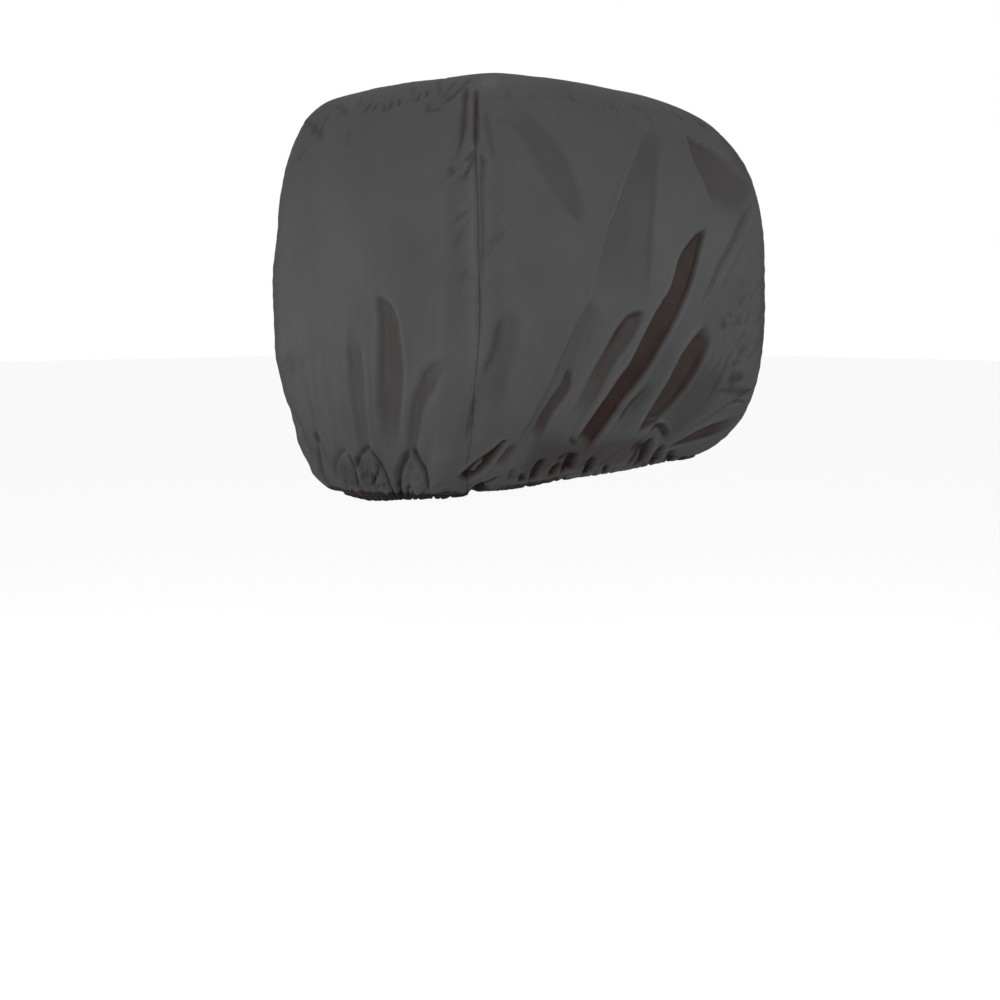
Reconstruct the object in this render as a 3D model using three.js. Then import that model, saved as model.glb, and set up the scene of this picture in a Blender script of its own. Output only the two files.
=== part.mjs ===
// A fitted weather cover: five sewn panels of coated cloth over one hollow form, drawn in
// at an elastic hem. Millimetres, +Z up, +X towards the bow, +Y to port. The origin is
// under the middle of the top, where the cover rests.
import * as THREE from "three";

// Sizes of the whole form, measured on the outer face of the cloth
const CLOTH = 2;
const SEAM_GAP = 0.3;
const AFT_FACE = -281;
const BOW_FACE = 549;
const HALF_WIDTH = 299;
const WIDEST_LEVEL = -396;
const RISE = 390;
const FALL = 319;

// How far each side draws in above and below the widest level, and how squarely
const UPPER = { aft: 163, bow: 432, side: 124, corner: 68, squareness: 3 };
const LOWER = { aft: 103, bow: 110, side: 208, corner: 77, squareness: 2.6 };
const CORNER = 73;
const BULGE = 27;
const CROWN_REACH = 180;
const CROWN_HEIGHT = 8;
const BOW_DIP = 24;
const PORT_SAG = 72;

// Places on the cloth: across runs round the cover from the corner between the aft and
// starboard panels, and down runs from the edge of the crown to the hem
const SIDE_CLOTH = 800;
const END_CLOTH = 570;
const GIRTH = 2 * (SIDE_CLOTH + END_CLOTH);

const TOP_SEAM = [
  { across: -570, down: 118 },
  { across: -430, down: 107 },
  { across: -300, down: 108 },
  { across: -205, down: 103 },
  { across: -110, down: 110 },
  { across: 0, down: 116 },
  { across: 95, down: 108 },
  { across: 215, down: 98 },
  { across: 340, down: 105 },
  { across: 550, down: 96 },
  { across: 700, down: 106 },
  { across: 800, down: 118 },
  { across: 1085, down: 106 },
  { across: 1370, down: 118 },
  { across: 1770, down: 104 },
  { across: 2170, down: 118 },
];

// The corner seam between the aft and starboard panels wanders; the other three are straight
const CORNER_SEAM = [
  { down: 0, across: -16 },
  { down: 110, across: -8 },
  { down: 340, across: 5 },
  { down: 470, across: 8 },
  { down: 620, across: 1 },
  { down: 720, across: 6 },
  { down: 870, across: 46 },
];

// Each panel's hem, which hangs lower at the aft corner than on the starboard side
const AFT_HEM = [
  { across: -570, down: 814 },
  { across: -390, down: 836 },
  { across: -200, down: 850 },
  { across: 46, down: 858 },
];
const STARBOARD_HEM = [
  { across: 46, down: 826 },
  { across: 200, down: 834 },
  { across: 350, down: 812 },
  { across: 800, down: 814 },
];
const BOW_HEM = [
  { across: 800, down: 814 },
  { across: 1370, down: 814 },
];
const PORT_HEM = [
  { across: 1370, down: 814 },
  { across: 2170, down: 814 },
];

// The main folds: soft troughs along a curve from one place on the cloth to another.
// width is half the trough's width, and depth is how far its bottom lies in
const FOLDS = [
  { from: [556, 296], via: [478, 470], to: [238, 706], width: 25, depth: 17 },
  { from: [378, 466], via: [300, 530], to: [222, 648], width: 20, depth: 9 },
  { from: [604, 484], via: [570, 570], to: [452, 688], width: 20, depth: 12 },
  { from: [-4, 118], via: [120, 180], to: [256, 350], width: 36, depth: 5 },
  { from: [520, 116], via: [424, 240], to: [372, 480], width: 24, depth: 5 },
  { from: [620, 118], via: [578, 215], to: [560, 310], width: 30, depth: 8 },
  { from: [750, 270], via: [660, 380], to: [556, 508], width: 18, depth: 5 },
  { from: [190, 580], via: [150, 640], to: [128, 720], width: 20, depth: 5 },
  { from: [30, 450], via: [28, 550], to: [54, 640], width: 18, depth: 4 },
  { from: [92, 660], via: [50, 715], to: [4, 790], width: 17, depth: 11 },
  { from: [130, 690], via: [100, 722], to: [78, 780], width: 13, depth: 6 },
  { from: [790, 680], via: [715, 740], to: [620, 752], width: 19, depth: 9 },
  { from: [610, 690], via: [552, 715], to: [520, 770], width: 15, depth: 7 },
  { from: [742, 560], via: [744, 600], to: [730, 650], width: 16, depth: 6 },
  { from: [436, 598], via: [392, 640], to: [360, 690], width: 12, depth: 3 },
  { from: [-214, 440], via: [-176, 600], to: [-232, 760], width: 22, depth: 7 },
  { from: [-256, 480], via: [-268, 620], to: [-330, 750], width: 17, depth: 4 },
  { from: [-26, 540], via: [-112, 600], to: [-176, 790], width: 17, depth: 6 },
  { from: [-452, 640], via: [-456, 680], to: [-440, 730], width: 18, depth: 4 },
  { from: [-36, 116], via: [-50, 170], to: [-46, 250], width: 16, depth: 4 },
  { from: [880, 330], via: [940, 520], to: [930, 740], width: 26, depth: 7 },
  { from: [1240, 300], via: [1180, 500], to: [1220, 760], width: 28, depth: 8 },
  { from: [1520, 330], via: [1600, 520], to: [1760, 720], width: 30, depth: 11 },
  { from: [1840, 300], via: [1900, 520], to: [1960, 740], width: 28, depth: 7 },
];

// Soft swells and a hollow at the port and bow corners, written like folds. A swell's
// depth is negative
const SWELLS = [
  { from: [-575, 270], via: [-580, 400], to: [-575, 550], width: 100, depth: -10 },
  { from: [-540, 50], via: [-535, 110], to: [-545, 170], width: 40, depth: -4 },
  { from: [-562, 600], via: [-556, 660], to: [-545, 725], width: 55, depth: 5 },
  { from: [775, 40], via: [790, 130], to: [800, 230], width: 60, depth: -6 },
];

// Gathers along the elastic hem, uneven in pitch, length and depth
const GATHER_PITCH = 42;
const GATHER_UNEVEN = 10;
const GATHER_LENGTH = 84;
const GATHER_WIDTH = 13;
const GATHER_DEPTH = 6;

// The hem's casing stands proud of the cloth above it
const CASING_HEIGHT = 16;
const CASING_RISE = 2.5;

const CLOTH_GREY = 0x515151;

// Reads a table at a place along it, easing from row to row
function readTable(rows, key, place, value) {
  if (place <= rows[0][key]) return rows[0][value];
  const next = rows.findIndex((row) => row[key] >= place);
  if (next < 0) return rows[rows.length - 1][value];
  const low = rows[next - 1];
  const high = rows[next];
  const share = THREE.MathUtils.smoothstep(place, low[key], high[key]);
  return THREE.MathUtils.lerp(low[value], high[value], share);
}

// One level of the form: how far out it stands (1 at the widest, 0 at the crown or under
// the hem) and how far it has gone up or down
function levelAt(angle) {
  const half = angle >= 0 ? UPPER : LOWER;
  const turn = THREE.MathUtils.degToRad(Math.abs(angle));
  return {
    half,
    out: Math.max(Math.cos(turn), 0) ** (2 / half.squareness),
    along: Math.sin(turn) ** (2 / half.squareness),
    height: angle >= 0 ? RISE : -FALL,
  };
}

// Distance down the cloth at each angle of the form, from the crown's edge to underneath
function measureMeridian() {
  const step = 0.25;
  const rows = [{ down: 0, angle: 90 }];
  const place = (angle) => {
    const level = levelAt(angle);
    const inset = level.half.side * (1 - level.out);
    return new THREE.Vector2(inset, level.height * level.along);
  };
  for (let angle = 90 - step; angle >= -90; angle -= step) {
    const stretch = place(angle).distanceTo(place(angle + step));
    rows.push({ down: rows[rows.length - 1].down + stretch, angle });
  }
  return rows;
}

const MERIDIAN = measureMeridian();

function angleAt(down) {
  const next = MERIDIAN.findIndex((row) => row.down >= down);
  if (down <= 0) return 90;
  if (next < 0) return -90;
  const low = MERIDIAN[next - 1];
  const high = MERIDIAN[next];
  const share = (down - low.down) / (high.down - low.down);
  return THREE.MathUtils.lerp(low.angle, high.angle, share);
}

// The side that a place round the cover is on, and the share of that side passed
const SIDES = [
  { start: 0, cloth: SIDE_CLOTH, along: [1, 0], inward: [0, 1] },
  { start: SIDE_CLOTH, cloth: END_CLOTH, along: [0, 1], inward: [-1, 0] },
  { start: SIDE_CLOTH + END_CLOTH, cloth: SIDE_CLOTH, along: [-1, 0], inward: [0, -1] },
  { start: GIRTH - END_CLOTH, cloth: END_CLOTH, along: [0, -1], inward: [1, 0] },
];

// A point of the bare form. Each level is a rectangle with round corners whose sides
// belly out, and inside the crown's edge the levels shrink to its middle
function formPoint(across, down) {
  const level = levelAt(angleAt(down));
  const half = level.half;
  const drawnIn = 1 - level.out;
  const aft = AFT_FACE + half.aft * drawnIn;
  const bow = BOW_FACE - half.bow * drawnIn;
  const wide = HALF_WIDTH - half.side * drawnIn;
  const radius = THREE.MathUtils.lerp(CORNER, half.corner, level.along);
  const belly = BULGE * (1 - 0.6 * level.along ** 3);

  const round = THREE.MathUtils.euclideanModulo(across, GIRTH);
  const number = SIDES.findLastIndex((row) => round >= row.start);
  const side = SIDES[number];
  const straight = side.along[0] ? bow - aft : 2 * wide;
  const arc = (radius * Math.PI) / 4;
  const length = straight - 2 * radius + 2 * arc;
  const passed = ((round - side.start) / side.cloth) * length;
  const fromEnd = Math.min(passed, length - passed);
  const turn = Math.max(Math.PI / 4 - fromEnd / radius, 0);
  const swell = belly * Math.sin((Math.PI * passed) / length) ** 2;
  const forward = Math.max(fromEnd - arc, 0) + radius * (1 - Math.sin(turn)) - swell * Math.sin(turn);
  const inward = radius * (1 - Math.cos(turn)) - swell * Math.cos(turn);
  const along = passed < length / 2 ? forward : straight - forward;

  const cornerX = number === 0 || number === 3 ? aft : bow;
  const cornerY = number < 2 ? -wide : wide;
  const x = cornerX + side.along[0] * along + side.inward[0] * inward;
  const y = cornerY + side.along[1] * along + side.inward[1] * inward;
  let z = WIDEST_LEVEL + level.height * level.along;

  const fore = (x - (AFT_FACE + BOW_FACE) / 2) / ((BOW_FACE - AFT_FACE) / 2);
  const under = THREE.MathUtils.clamp((WIDEST_LEVEL - z) / FALL, 0, 1);
  const over = THREE.MathUtils.clamp((z - WIDEST_LEVEL) / RISE, 0, 1);
  const toPort = THREE.MathUtils.clamp((y / HALF_WIDTH + 1) / 2, 0, 1);
  z -= PORT_SAG * under * toPort * THREE.MathUtils.clamp(0.5 - fore, 0, 1);
  z -= BOW_DIP * over ** 2 * THREE.MathUtils.clamp(fore, 0, 1) ** 2;

  const shrink = THREE.MathUtils.clamp(1 + down / CROWN_REACH, 0, 1);
  const middle = (AFT_FACE + UPPER.aft + BOW_FACE - UPPER.bow) / 2;
  const dome = CROWN_HEIGHT * (1 - shrink ** 2) ** 2;
  return new THREE.Vector3(middle + (x - middle) * shrink, y * shrink, z + dome);
}

// The outward direction of a surface at a place on it
function outward(surface, across, down) {
  const nearMiddle = -0.95 * CROWN_REACH;
  if (down < nearMiddle) return new THREE.Vector3(0, 0, 1);
  const step = 1;
  const round = surface(across + step, down).sub(surface(across - step, down));
  const fall = surface(across, down + step).sub(surface(across, down - step));
  return fall.cross(round).normalize();
}

// A fold's route on the cloth, as short straight stretches
function foldRoute(fold) {
  const curve = new THREE.QuadraticBezierCurve(
    new THREE.Vector2(...fold.from),
    new THREE.Vector2(...fold.via),
    new THREE.Vector2(...fold.to),
  );
  return { ...fold, points: curve.getPoints(12) };
}

// A gather: a short trough that runs up from the hem and leans a little
function gather(number) {
  const across = number * GATHER_PITCH + GATHER_UNEVEN * Math.sin(number * 2.3);
  const length = GATHER_LENGTH * (0.7 + 0.3 * Math.sin(number * 1.7));
  const lean = 0.25 * length * Math.sin(number * 0.9);
  const hem = 870;
  return foldRoute({
    from: [across + lean, hem - length - 40],
    via: [across, hem - length / 2],
    to: [across, hem + 20],
    width: GATHER_WIDTH * (1 + 0.2 * Math.sin(number * 3.1)),
    depth: GATHER_DEPTH * (0.75 + 0.25 * Math.sin(number * 2.9)),
  });
}

const GATHERS = Array.from({ length: Math.floor(GIRTH / GATHER_PITCH) }, (_, n) => gather(n));
const ROUTES = [...FOLDS.map(foldRoute), ...SWELLS.map(foldRoute), ...GATHERS];

// How near a place is to a route, and how much of the route is passed there
function nearest(route, place) {
  const best = { distance: Infinity, passed: 0 };
  for (let n = 0; n < route.points.length - 1; n++) {
    const start = route.points[n];
    const stretch = route.points[n + 1].clone().sub(start);
    const share = place.clone().sub(start).dot(stretch) / stretch.lengthSq();
    const held = THREE.MathUtils.clamp(share, 0, 1);
    const distance = start.clone().addScaledVector(stretch, held).distanceTo(place);
    if (distance < best.distance) {
      best.distance = distance;
      best.passed = (n + held) / (route.points.length - 1);
    }
  }
  return best;
}

// The depth of all folds together at a place: a trough with a low ridge on each side,
// which fades in and out along its route
function relief(across, down) {
  let height = 0;
  for (const lap of [-GIRTH, 0, GIRTH]) {
    const place = new THREE.Vector2(across + lap, down);
    for (const route of ROUTES) {
      const { distance, passed } = nearest(route, place);
      const share = distance / route.width;
      if (share > 3) continue;
      const fadeIn = THREE.MathUtils.smoothstep(passed, 0, 0.35);
      const fadeOut = 1 - THREE.MathUtils.smoothstep(passed, 0.82, 1);
      height -= route.depth * fadeIn * fadeOut * (1 - share ** 2) * Math.exp(-(share ** 2));
    }
  }
  return height;
}

// The cloth's outer face: the form with its folds
function clothPoint(across, down) {
  return formPoint(across, down).addScaledVector(
    outward(formPoint, across, down),
    relief(across, down),
  );
}

// The outer and inner points of the cloth at a place, with any extra rise
function clothPair(across, down, rise = 0) {
  const direction = outward(clothPoint, across, down);
  const point = clothPoint(across, down).addScaledVector(direction, rise);
  return { outer: point, inner: point.clone().addScaledVector(direction, -CLOTH) };
}

// A closed sheet from pairs of points and the triangles of its outer face: the inner face
// is the same turned round, and each edge that only one triangle has gets a wall
function sheetGeometry(pairs, faces) {
  const count = pairs.length;
  const edges = new Set();
  for (const [a, b, c] of faces) {
    edges.add(a * count + b);
    edges.add(b * count + c);
    edges.add(c * count + a);
  }
  const index = faces.flatMap(([a, b, c]) => [a, b, c, count + a, count + c, count + b]);
  for (const edge of edges) {
    const a = Math.floor(edge / count);
    const b = edge % count;
    if (edges.has(b * count + a)) continue;
    index.push(b, a, count + a, b, count + a, count + b);
  }
  const points = [...pairs.map((pair) => pair.outer), ...pairs.map((pair) => pair.inner)];
  const geometry = new THREE.BufferGeometry().setFromPoints(points);
  geometry.setIndex(index);
  geometry.computeVertexNormals();
  return geometry;
}

function clothMesh(name, geometry) {
  const material = new THREE.MeshStandardMaterial({
    color: CLOTH_GREY,
    roughness: 0.55,
    metalness: 0,
  });
  const mesh = new THREE.Mesh(geometry, material);
  mesh.name = name;
  return mesh;
}

const topSeamAt = (across) => {
  const folded = across > GIRTH - END_CLOTH ? across - GIRTH : across;
  return readTable(TOP_SEAM, "across", folded, "down");
};
const cornerSeamAt = (down) => readTable(CORNER_SEAM, "down", down, "across");

// The level of the top seam, where the columns of the upright and top panels meet
const TOP_LEVEL = 118;

// Half of a seam's gap, in the units of across, which are shorter where the form narrows
function halfGap(seam, step, down) {
  const unit = formPoint(seam, down).distanceTo(formPoint(seam + step, down));
  return SEAM_GAP / 2 / unit;
}

// Where a panel's columns cross the cloth. They lean in the middle of the panel, so that
// they run with its slanting folds, and stay straight at its two seams
function acrossAt(panel, share, down) {
  const start = panel.start(down) + halfGap(panel.start(down), 1, down);
  const end = panel.end(down) - halfGap(panel.end(down), -1, down);
  const fall = THREE.MathUtils.clamp((down - TOP_LEVEL) / (HEM_TURN - TOP_LEVEL), 0, 1);
  return start + (end - start) * share + panel.lean * 4 * share * (1 - share) * (0.5 - fall);
}

// One upright panel, from the top seam to its hem. All have the same rows as far as the
// turn above the hem, so that their seams meet, and two more down to their own hem
const ROWS = 16;
const HEM_TURN = 780;

function uprightPanel(name, panel) {
  const pairs = [];
  const faces = [];
  const across = panel.columns + 1;
  for (let row = 0; row <= ROWS; row++) {
    for (let column = 0; column <= panel.columns; column++) {
      const share = column / panel.columns;
      const top = topSeamAt(acrossAt(panel, share, TOP_LEVEL)) + SEAM_GAP / 2;
      const hem = readTable(panel.hem, "across", acrossAt(panel, share, HEM_TURN), "down");
      const body = THREE.MathUtils.lerp(top, HEM_TURN, Math.min(row / (ROWS - 2), 1));
      const down = [body, hem - CASING_HEIGHT, hem][Math.max(row - ROWS + 2, 0)];
      pairs.push(clothPair(acrossAt(panel, share, down), down, down > HEM_TURN ? CASING_RISE : 0));
    }
  }
  for (let row = 0; row < ROWS; row++) {
    for (let column = 0; column < panel.columns; column++) {
      const corner = row * across + column;
      faces.push([corner, corner + across, corner + 1]);
      faces.push([corner + 1, corner + across, corner + across + 1]);
    }
  }
  return clothMesh(name, sheetGeometry(pairs, faces));
}

const UPRIGHT_PANELS = {
  starboard_panel: {
    start: cornerSeamAt,
    end: () => SIDE_CLOTH,
    hem: STARBOARD_HEM,
    columns: 56,
    lean: 200,
  },
  bow_panel: {
    start: () => SIDE_CLOTH,
    end: () => SIDE_CLOTH + END_CLOTH,
    hem: BOW_HEM,
    columns: 10,
    lean: 0,
  },
  port_panel: {
    start: () => SIDE_CLOTH + END_CLOTH,
    end: () => GIRTH - END_CLOTH,
    hem: PORT_HEM,
    columns: 16,
    lean: 0,
  },
  aft_panel: {
    start: () => -END_CLOTH,
    end: cornerSeamAt,
    hem: AFT_HEM,
    columns: 38,
    lean: 0,
  },
};

// The top panel is made of rings that shrink from its seam to the middle of the crown,
// with fewer points on each. Its first ring has a point at each column below it
const TOP_RINGS = [
  { share: 0, thin: 1 },
  { share: 0.09, thin: 2 },
  { share: 0.2, thin: 2 },
  { share: 0.38, thin: 4 },
  { share: 0.66, thin: 8 },
];

function topPanel() {
  const stations = Object.values(UPRIGHT_PANELS).flatMap((panel) =>
    Array.from({ length: panel.columns }, (_, column) =>
      acrossAt(panel, column / panel.columns, TOP_LEVEL),
    ),
  );
  const pairs = [];
  const rings = TOP_RINGS.map(({ share, thin }) => {
    const kept = stations.filter((_, number) => number % thin === 0);
    return kept.map((across) => {
      const seam = topSeamAt(across) - SEAM_GAP / 2;
      const down = THREE.MathUtils.lerp(seam, -CROWN_REACH, share);
      return pairs.push(clothPair(across, down)) - 1;
    });
  });
  const middle = pairs.push(clothPair(0, -CROWN_REACH)) - 1;

  const faces = [];
  for (let number = 0; number < rings.length; number++) {
    const outer = rings[number];
    const inner = rings[number + 1] ?? [middle];
    const ratio = outer.length / inner.length;
    for (let point = 0; point < outer.length; point++) {
      const here = inner[Math.floor(point / ratio) % inner.length];
      const there = inner[Math.floor((point + 1) / ratio) % inner.length];
      const next = outer[(point + 1) % outer.length];
      faces.push([here, outer[point], next]);
      if (here !== there) faces.push([here, next, there]);
    }
  }
  return clothMesh("top_panel", sheetGeometry(pairs, faces));
}

const cover = new THREE.Group();
cover.name = "outboard_motor_cover";
cover.add(topPanel());
for (const [name, panel] of Object.entries(UPRIGHT_PANELS)) {
  cover.add(uprightPanel(name, panel));
}

export default cover;
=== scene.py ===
import math
from collections import namedtuple

import bmesh
import bpy
import numpy as np
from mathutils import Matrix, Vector


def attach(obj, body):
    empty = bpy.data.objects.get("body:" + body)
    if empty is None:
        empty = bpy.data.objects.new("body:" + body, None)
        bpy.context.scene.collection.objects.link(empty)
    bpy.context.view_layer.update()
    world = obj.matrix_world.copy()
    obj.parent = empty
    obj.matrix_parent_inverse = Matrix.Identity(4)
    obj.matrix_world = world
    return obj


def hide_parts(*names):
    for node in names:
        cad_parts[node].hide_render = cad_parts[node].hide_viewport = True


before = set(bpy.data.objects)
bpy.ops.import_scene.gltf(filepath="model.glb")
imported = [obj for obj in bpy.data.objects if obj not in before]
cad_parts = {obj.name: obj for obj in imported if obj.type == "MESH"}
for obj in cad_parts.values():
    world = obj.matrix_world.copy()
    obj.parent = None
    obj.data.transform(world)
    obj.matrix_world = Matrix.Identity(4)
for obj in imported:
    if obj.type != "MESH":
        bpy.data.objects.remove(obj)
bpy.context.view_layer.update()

# Starboard panel: the long side that shows on the right, cut from one piece of dark grey
# coated polyester. The elastic in its hem pulls the spare cloth into slanting folds.
# Lengths on the cloth are millimetres. across runs round the cover from the corner seam
# between the aft and starboard panels, and down runs from the edge of the crown to the hem.
MM = 0.001
CLOTH = 1.2
SEAM_GAP = 0.3

# The form's faces, its widest level, and how far it rises and falls from there. UPPER and LOWER
# say how far each face draws in towards the crown and the hem, and the corner's radius there.
AFT_FACE, BOW_FACE, HALF_WIDTH = -281, 549, 299
WIDEST_LEVEL, RISE, FALL = -396, 390, 319
UPPER = dict(aft=163, bow=432, side=124, corner=68, squareness=3)
LOWER = dict(aft=103, bow=110, side=208, corner=77, squareness=2.6)
CORNER, BULGE, BULGE_LOST = 73, 27, 0.6
CROWN_REACH, CROWN_HEIGHT = 180, 8
CROWN_MIDDLE = -0.95 * CROWN_REACH
BOW_DIP, PORT_SAG = 24, 72
SIDE_CLOTH, END_CLOTH = 800, 570
GIRTH = 2 * (SIDE_CLOTH + END_CLOTH)
SIDE_STARTS = np.array([0, SIDE_CLOTH, SIDE_CLOTH + END_CLOTH, GIRTH - END_CLOTH])
MERIDIAN_STEPS = 721


def levels(angle):
    """Whether each level is in the upper half, how far out it stands and how far up or down it is."""
    turn = np.radians(np.abs(angle))
    squareness = np.where(angle >= 0, UPPER["squareness"], LOWER["squareness"])
    out = np.maximum(np.cos(turn), 0) ** (2 / squareness)
    return angle >= 0, out, np.sin(turn) ** (2 / squareness)


def meridian():
    """The distance down the cloth at each angle of the form, from the crown's edge to underneath."""
    angle = np.linspace(90, -90, MERIDIAN_STEPS)
    up, out, along = levels(angle)
    inset = np.where(up, UPPER["side"], LOWER["side"]) * (1 - out)
    height = np.where(up, RISE, -FALL) * along
    steps = np.hypot(np.diff(inset), np.diff(height))
    return np.concatenate([[0], np.cumsum(steps)]), angle


MERIDIAN_DOWN, MERIDIAN_ANGLE = meridian()


def form(across, down):
    """Points of the bare form. Each level is a rectangle with round corners whose sides belly out."""
    across, down = np.broadcast_arrays(np.asarray(across, float), np.asarray(down, float))
    up, out, along = levels(np.interp(down, MERIDIAN_DOWN, MERIDIAN_ANGLE))
    size = {name: np.where(up, UPPER[name], LOWER[name]) for name in UPPER}
    aft = AFT_FACE + size["aft"] * (1 - out)
    bow = BOW_FACE - size["bow"] * (1 - out)
    wide = HALF_WIDTH - size["side"] * (1 - out)
    radius = CORNER + (size["corner"] - CORNER) * along
    belly = BULGE * (1 - BULGE_LOST * along**3)

    place = np.mod(across, GIRTH)
    side = np.searchsorted(SIDE_STARTS, place, side="right") - 1
    lengthways = side % 2 == 0
    straight = np.where(lengthways, bow - aft, 2 * wide)
    arc = radius * math.pi / 4
    length = straight - 2 * radius + 2 * arc
    passed = (place - SIDE_STARTS[side]) / np.where(lengthways, SIDE_CLOTH, END_CLOTH) * length
    from_end = np.minimum(passed, length - passed)
    turn = np.maximum(math.pi / 4 - from_end / radius, 0)
    swell = belly * np.sin(math.pi * passed / length) ** 2
    forward = np.maximum(from_end - arc, 0) + radius * (1 - np.sin(turn)) - swell * np.sin(turn)
    inward = radius * (1 - np.cos(turn)) - swell * np.cos(turn)
    ahead = np.where(passed < length / 2, forward, straight - forward)
    way_x, way_y = np.array([1, 0, -1, 0])[side], np.array([0, 1, 0, -1])[side]
    corner_x = np.where((side == 0) | (side == 3), aft, bow)
    corner_y = np.where(side < 2, -wide, wide)
    x = corner_x + way_x * ahead - way_y * inward
    y = corner_y + way_y * ahead + way_x * inward
    z = WIDEST_LEVEL + np.where(up, RISE, -FALL) * along

    fore = (x - (AFT_FACE + BOW_FACE) / 2) / ((BOW_FACE - AFT_FACE) / 2)
    under = np.clip((WIDEST_LEVEL - z) / FALL, 0, 1)
    over = np.clip((z - WIDEST_LEVEL) / RISE, 0, 1)
    to_port = np.clip((y / HALF_WIDTH + 1) / 2, 0, 1)
    z = z - PORT_SAG * under * to_port * np.clip(0.5 - fore, 0, 1)
    z = z - BOW_DIP * over**2 * np.clip(fore, 0, 1) ** 2

    shrink = np.clip(1 + down / CROWN_REACH, 0, 1)
    middle = (AFT_FACE + UPPER["aft"] + BOW_FACE - UPPER["bow"]) / 2
    dome = CROWN_HEIGHT * (1 - shrink**2) ** 2
    return np.stack([middle + (x - middle) * shrink, y * shrink, z + dome], -1)


def outward(across, down):
    """The outward direction of the bare form at each place. The middle of the crown faces up."""
    held = np.maximum(down, CROWN_MIDDLE)
    around = form(across + 1, held) - form(across - 1, held)
    fall = form(across, held + 1) - form(across, held - 1)
    normal = np.cross(fall, around)
    normal /= np.maximum(np.linalg.norm(normal, axis=-1, keepdims=True), 1e-9)
    return np.where((down <= CROWN_MIDDLE)[..., None], [0, 0, 1], normal)


def read_table(rows, place):
    """Reads (place, value) rows, easing from one row to the next."""
    places, values = np.array(rows, float).T
    low = np.clip(np.searchsorted(places, place, side="right") - 1, 0, len(places) - 2)
    share = np.clip((place - places[low]) / (places[low + 1] - places[low]), 0, 1)
    share = share * share * (3 - 2 * share)
    return values[low] + (values[low + 1] - values[low]) * share


def ease(value, start, end):
    """Rises smoothly from 0 to 1 as value passes from start to end."""
    share = np.clip((value - start) / (end - start), 0, 1)
    return share * share * (3 - 2 * share)


# Rows of (across, down) for the top seam and the hems, and of (down, across) for the corner seam
TOP_SEAM = [
    (-570, 118), (-430, 107), (-300, 108), (-205, 103), (-110, 110), (0, 116), (95, 108), (215, 98),
    (340, 105), (550, 96), (700, 106), (800, 118), (1085, 106), (1370, 118), (1770, 104), (2170, 118),
]
CORNER_SEAM = [(0, -16), (110, -8), (340, 5), (470, 8), (620, 1), (720, 6), (870, 46)]
STARBOARD_HEM = [(46, 826), (200, 834), (350, 812), (800, 814)]


def top_seam(across):
    """How far down the cloth the top seam runs at each place."""
    folded = np.where(across > GIRTH - END_CLOTH, across - GIRTH, across)
    return read_table(TOP_SEAM, folded)


def corner_seam(down):
    """How far round the cover the near corner's seam runs at each level."""
    return read_table(CORNER_SEAM, down)


# A crease is a trough along a path of (across, down) places. left and right are how far its
# two walls reach, as seen from outside on the way down, and a higher flat gives it a flatter
# bottom. Its darkness is shade painted into the cloth's colour along it, and start and end are the
# shares of its length in which it fades. A negative depth makes it a ridge, and a negative darkness
# paints a highlight on it.
Crease = namedtuple("Crease", "path left right depth flat dark start end", defaults=(2, 0, 0.3, 0.3))

# A facet is cloth that lies deeper between two edges, each a path. soft_left and soft_right
# are half the widths of the slopes at its edges. Its darkness is painted shade, as for a crease.
Facet = namedtuple(
    "Facet", "left right depth dark soft_left soft_right start end", defaults=(3, 3, 0.1, 0.25)
)

# Each fold's darkness is painted shade, and a negative one a painted highlight
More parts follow.
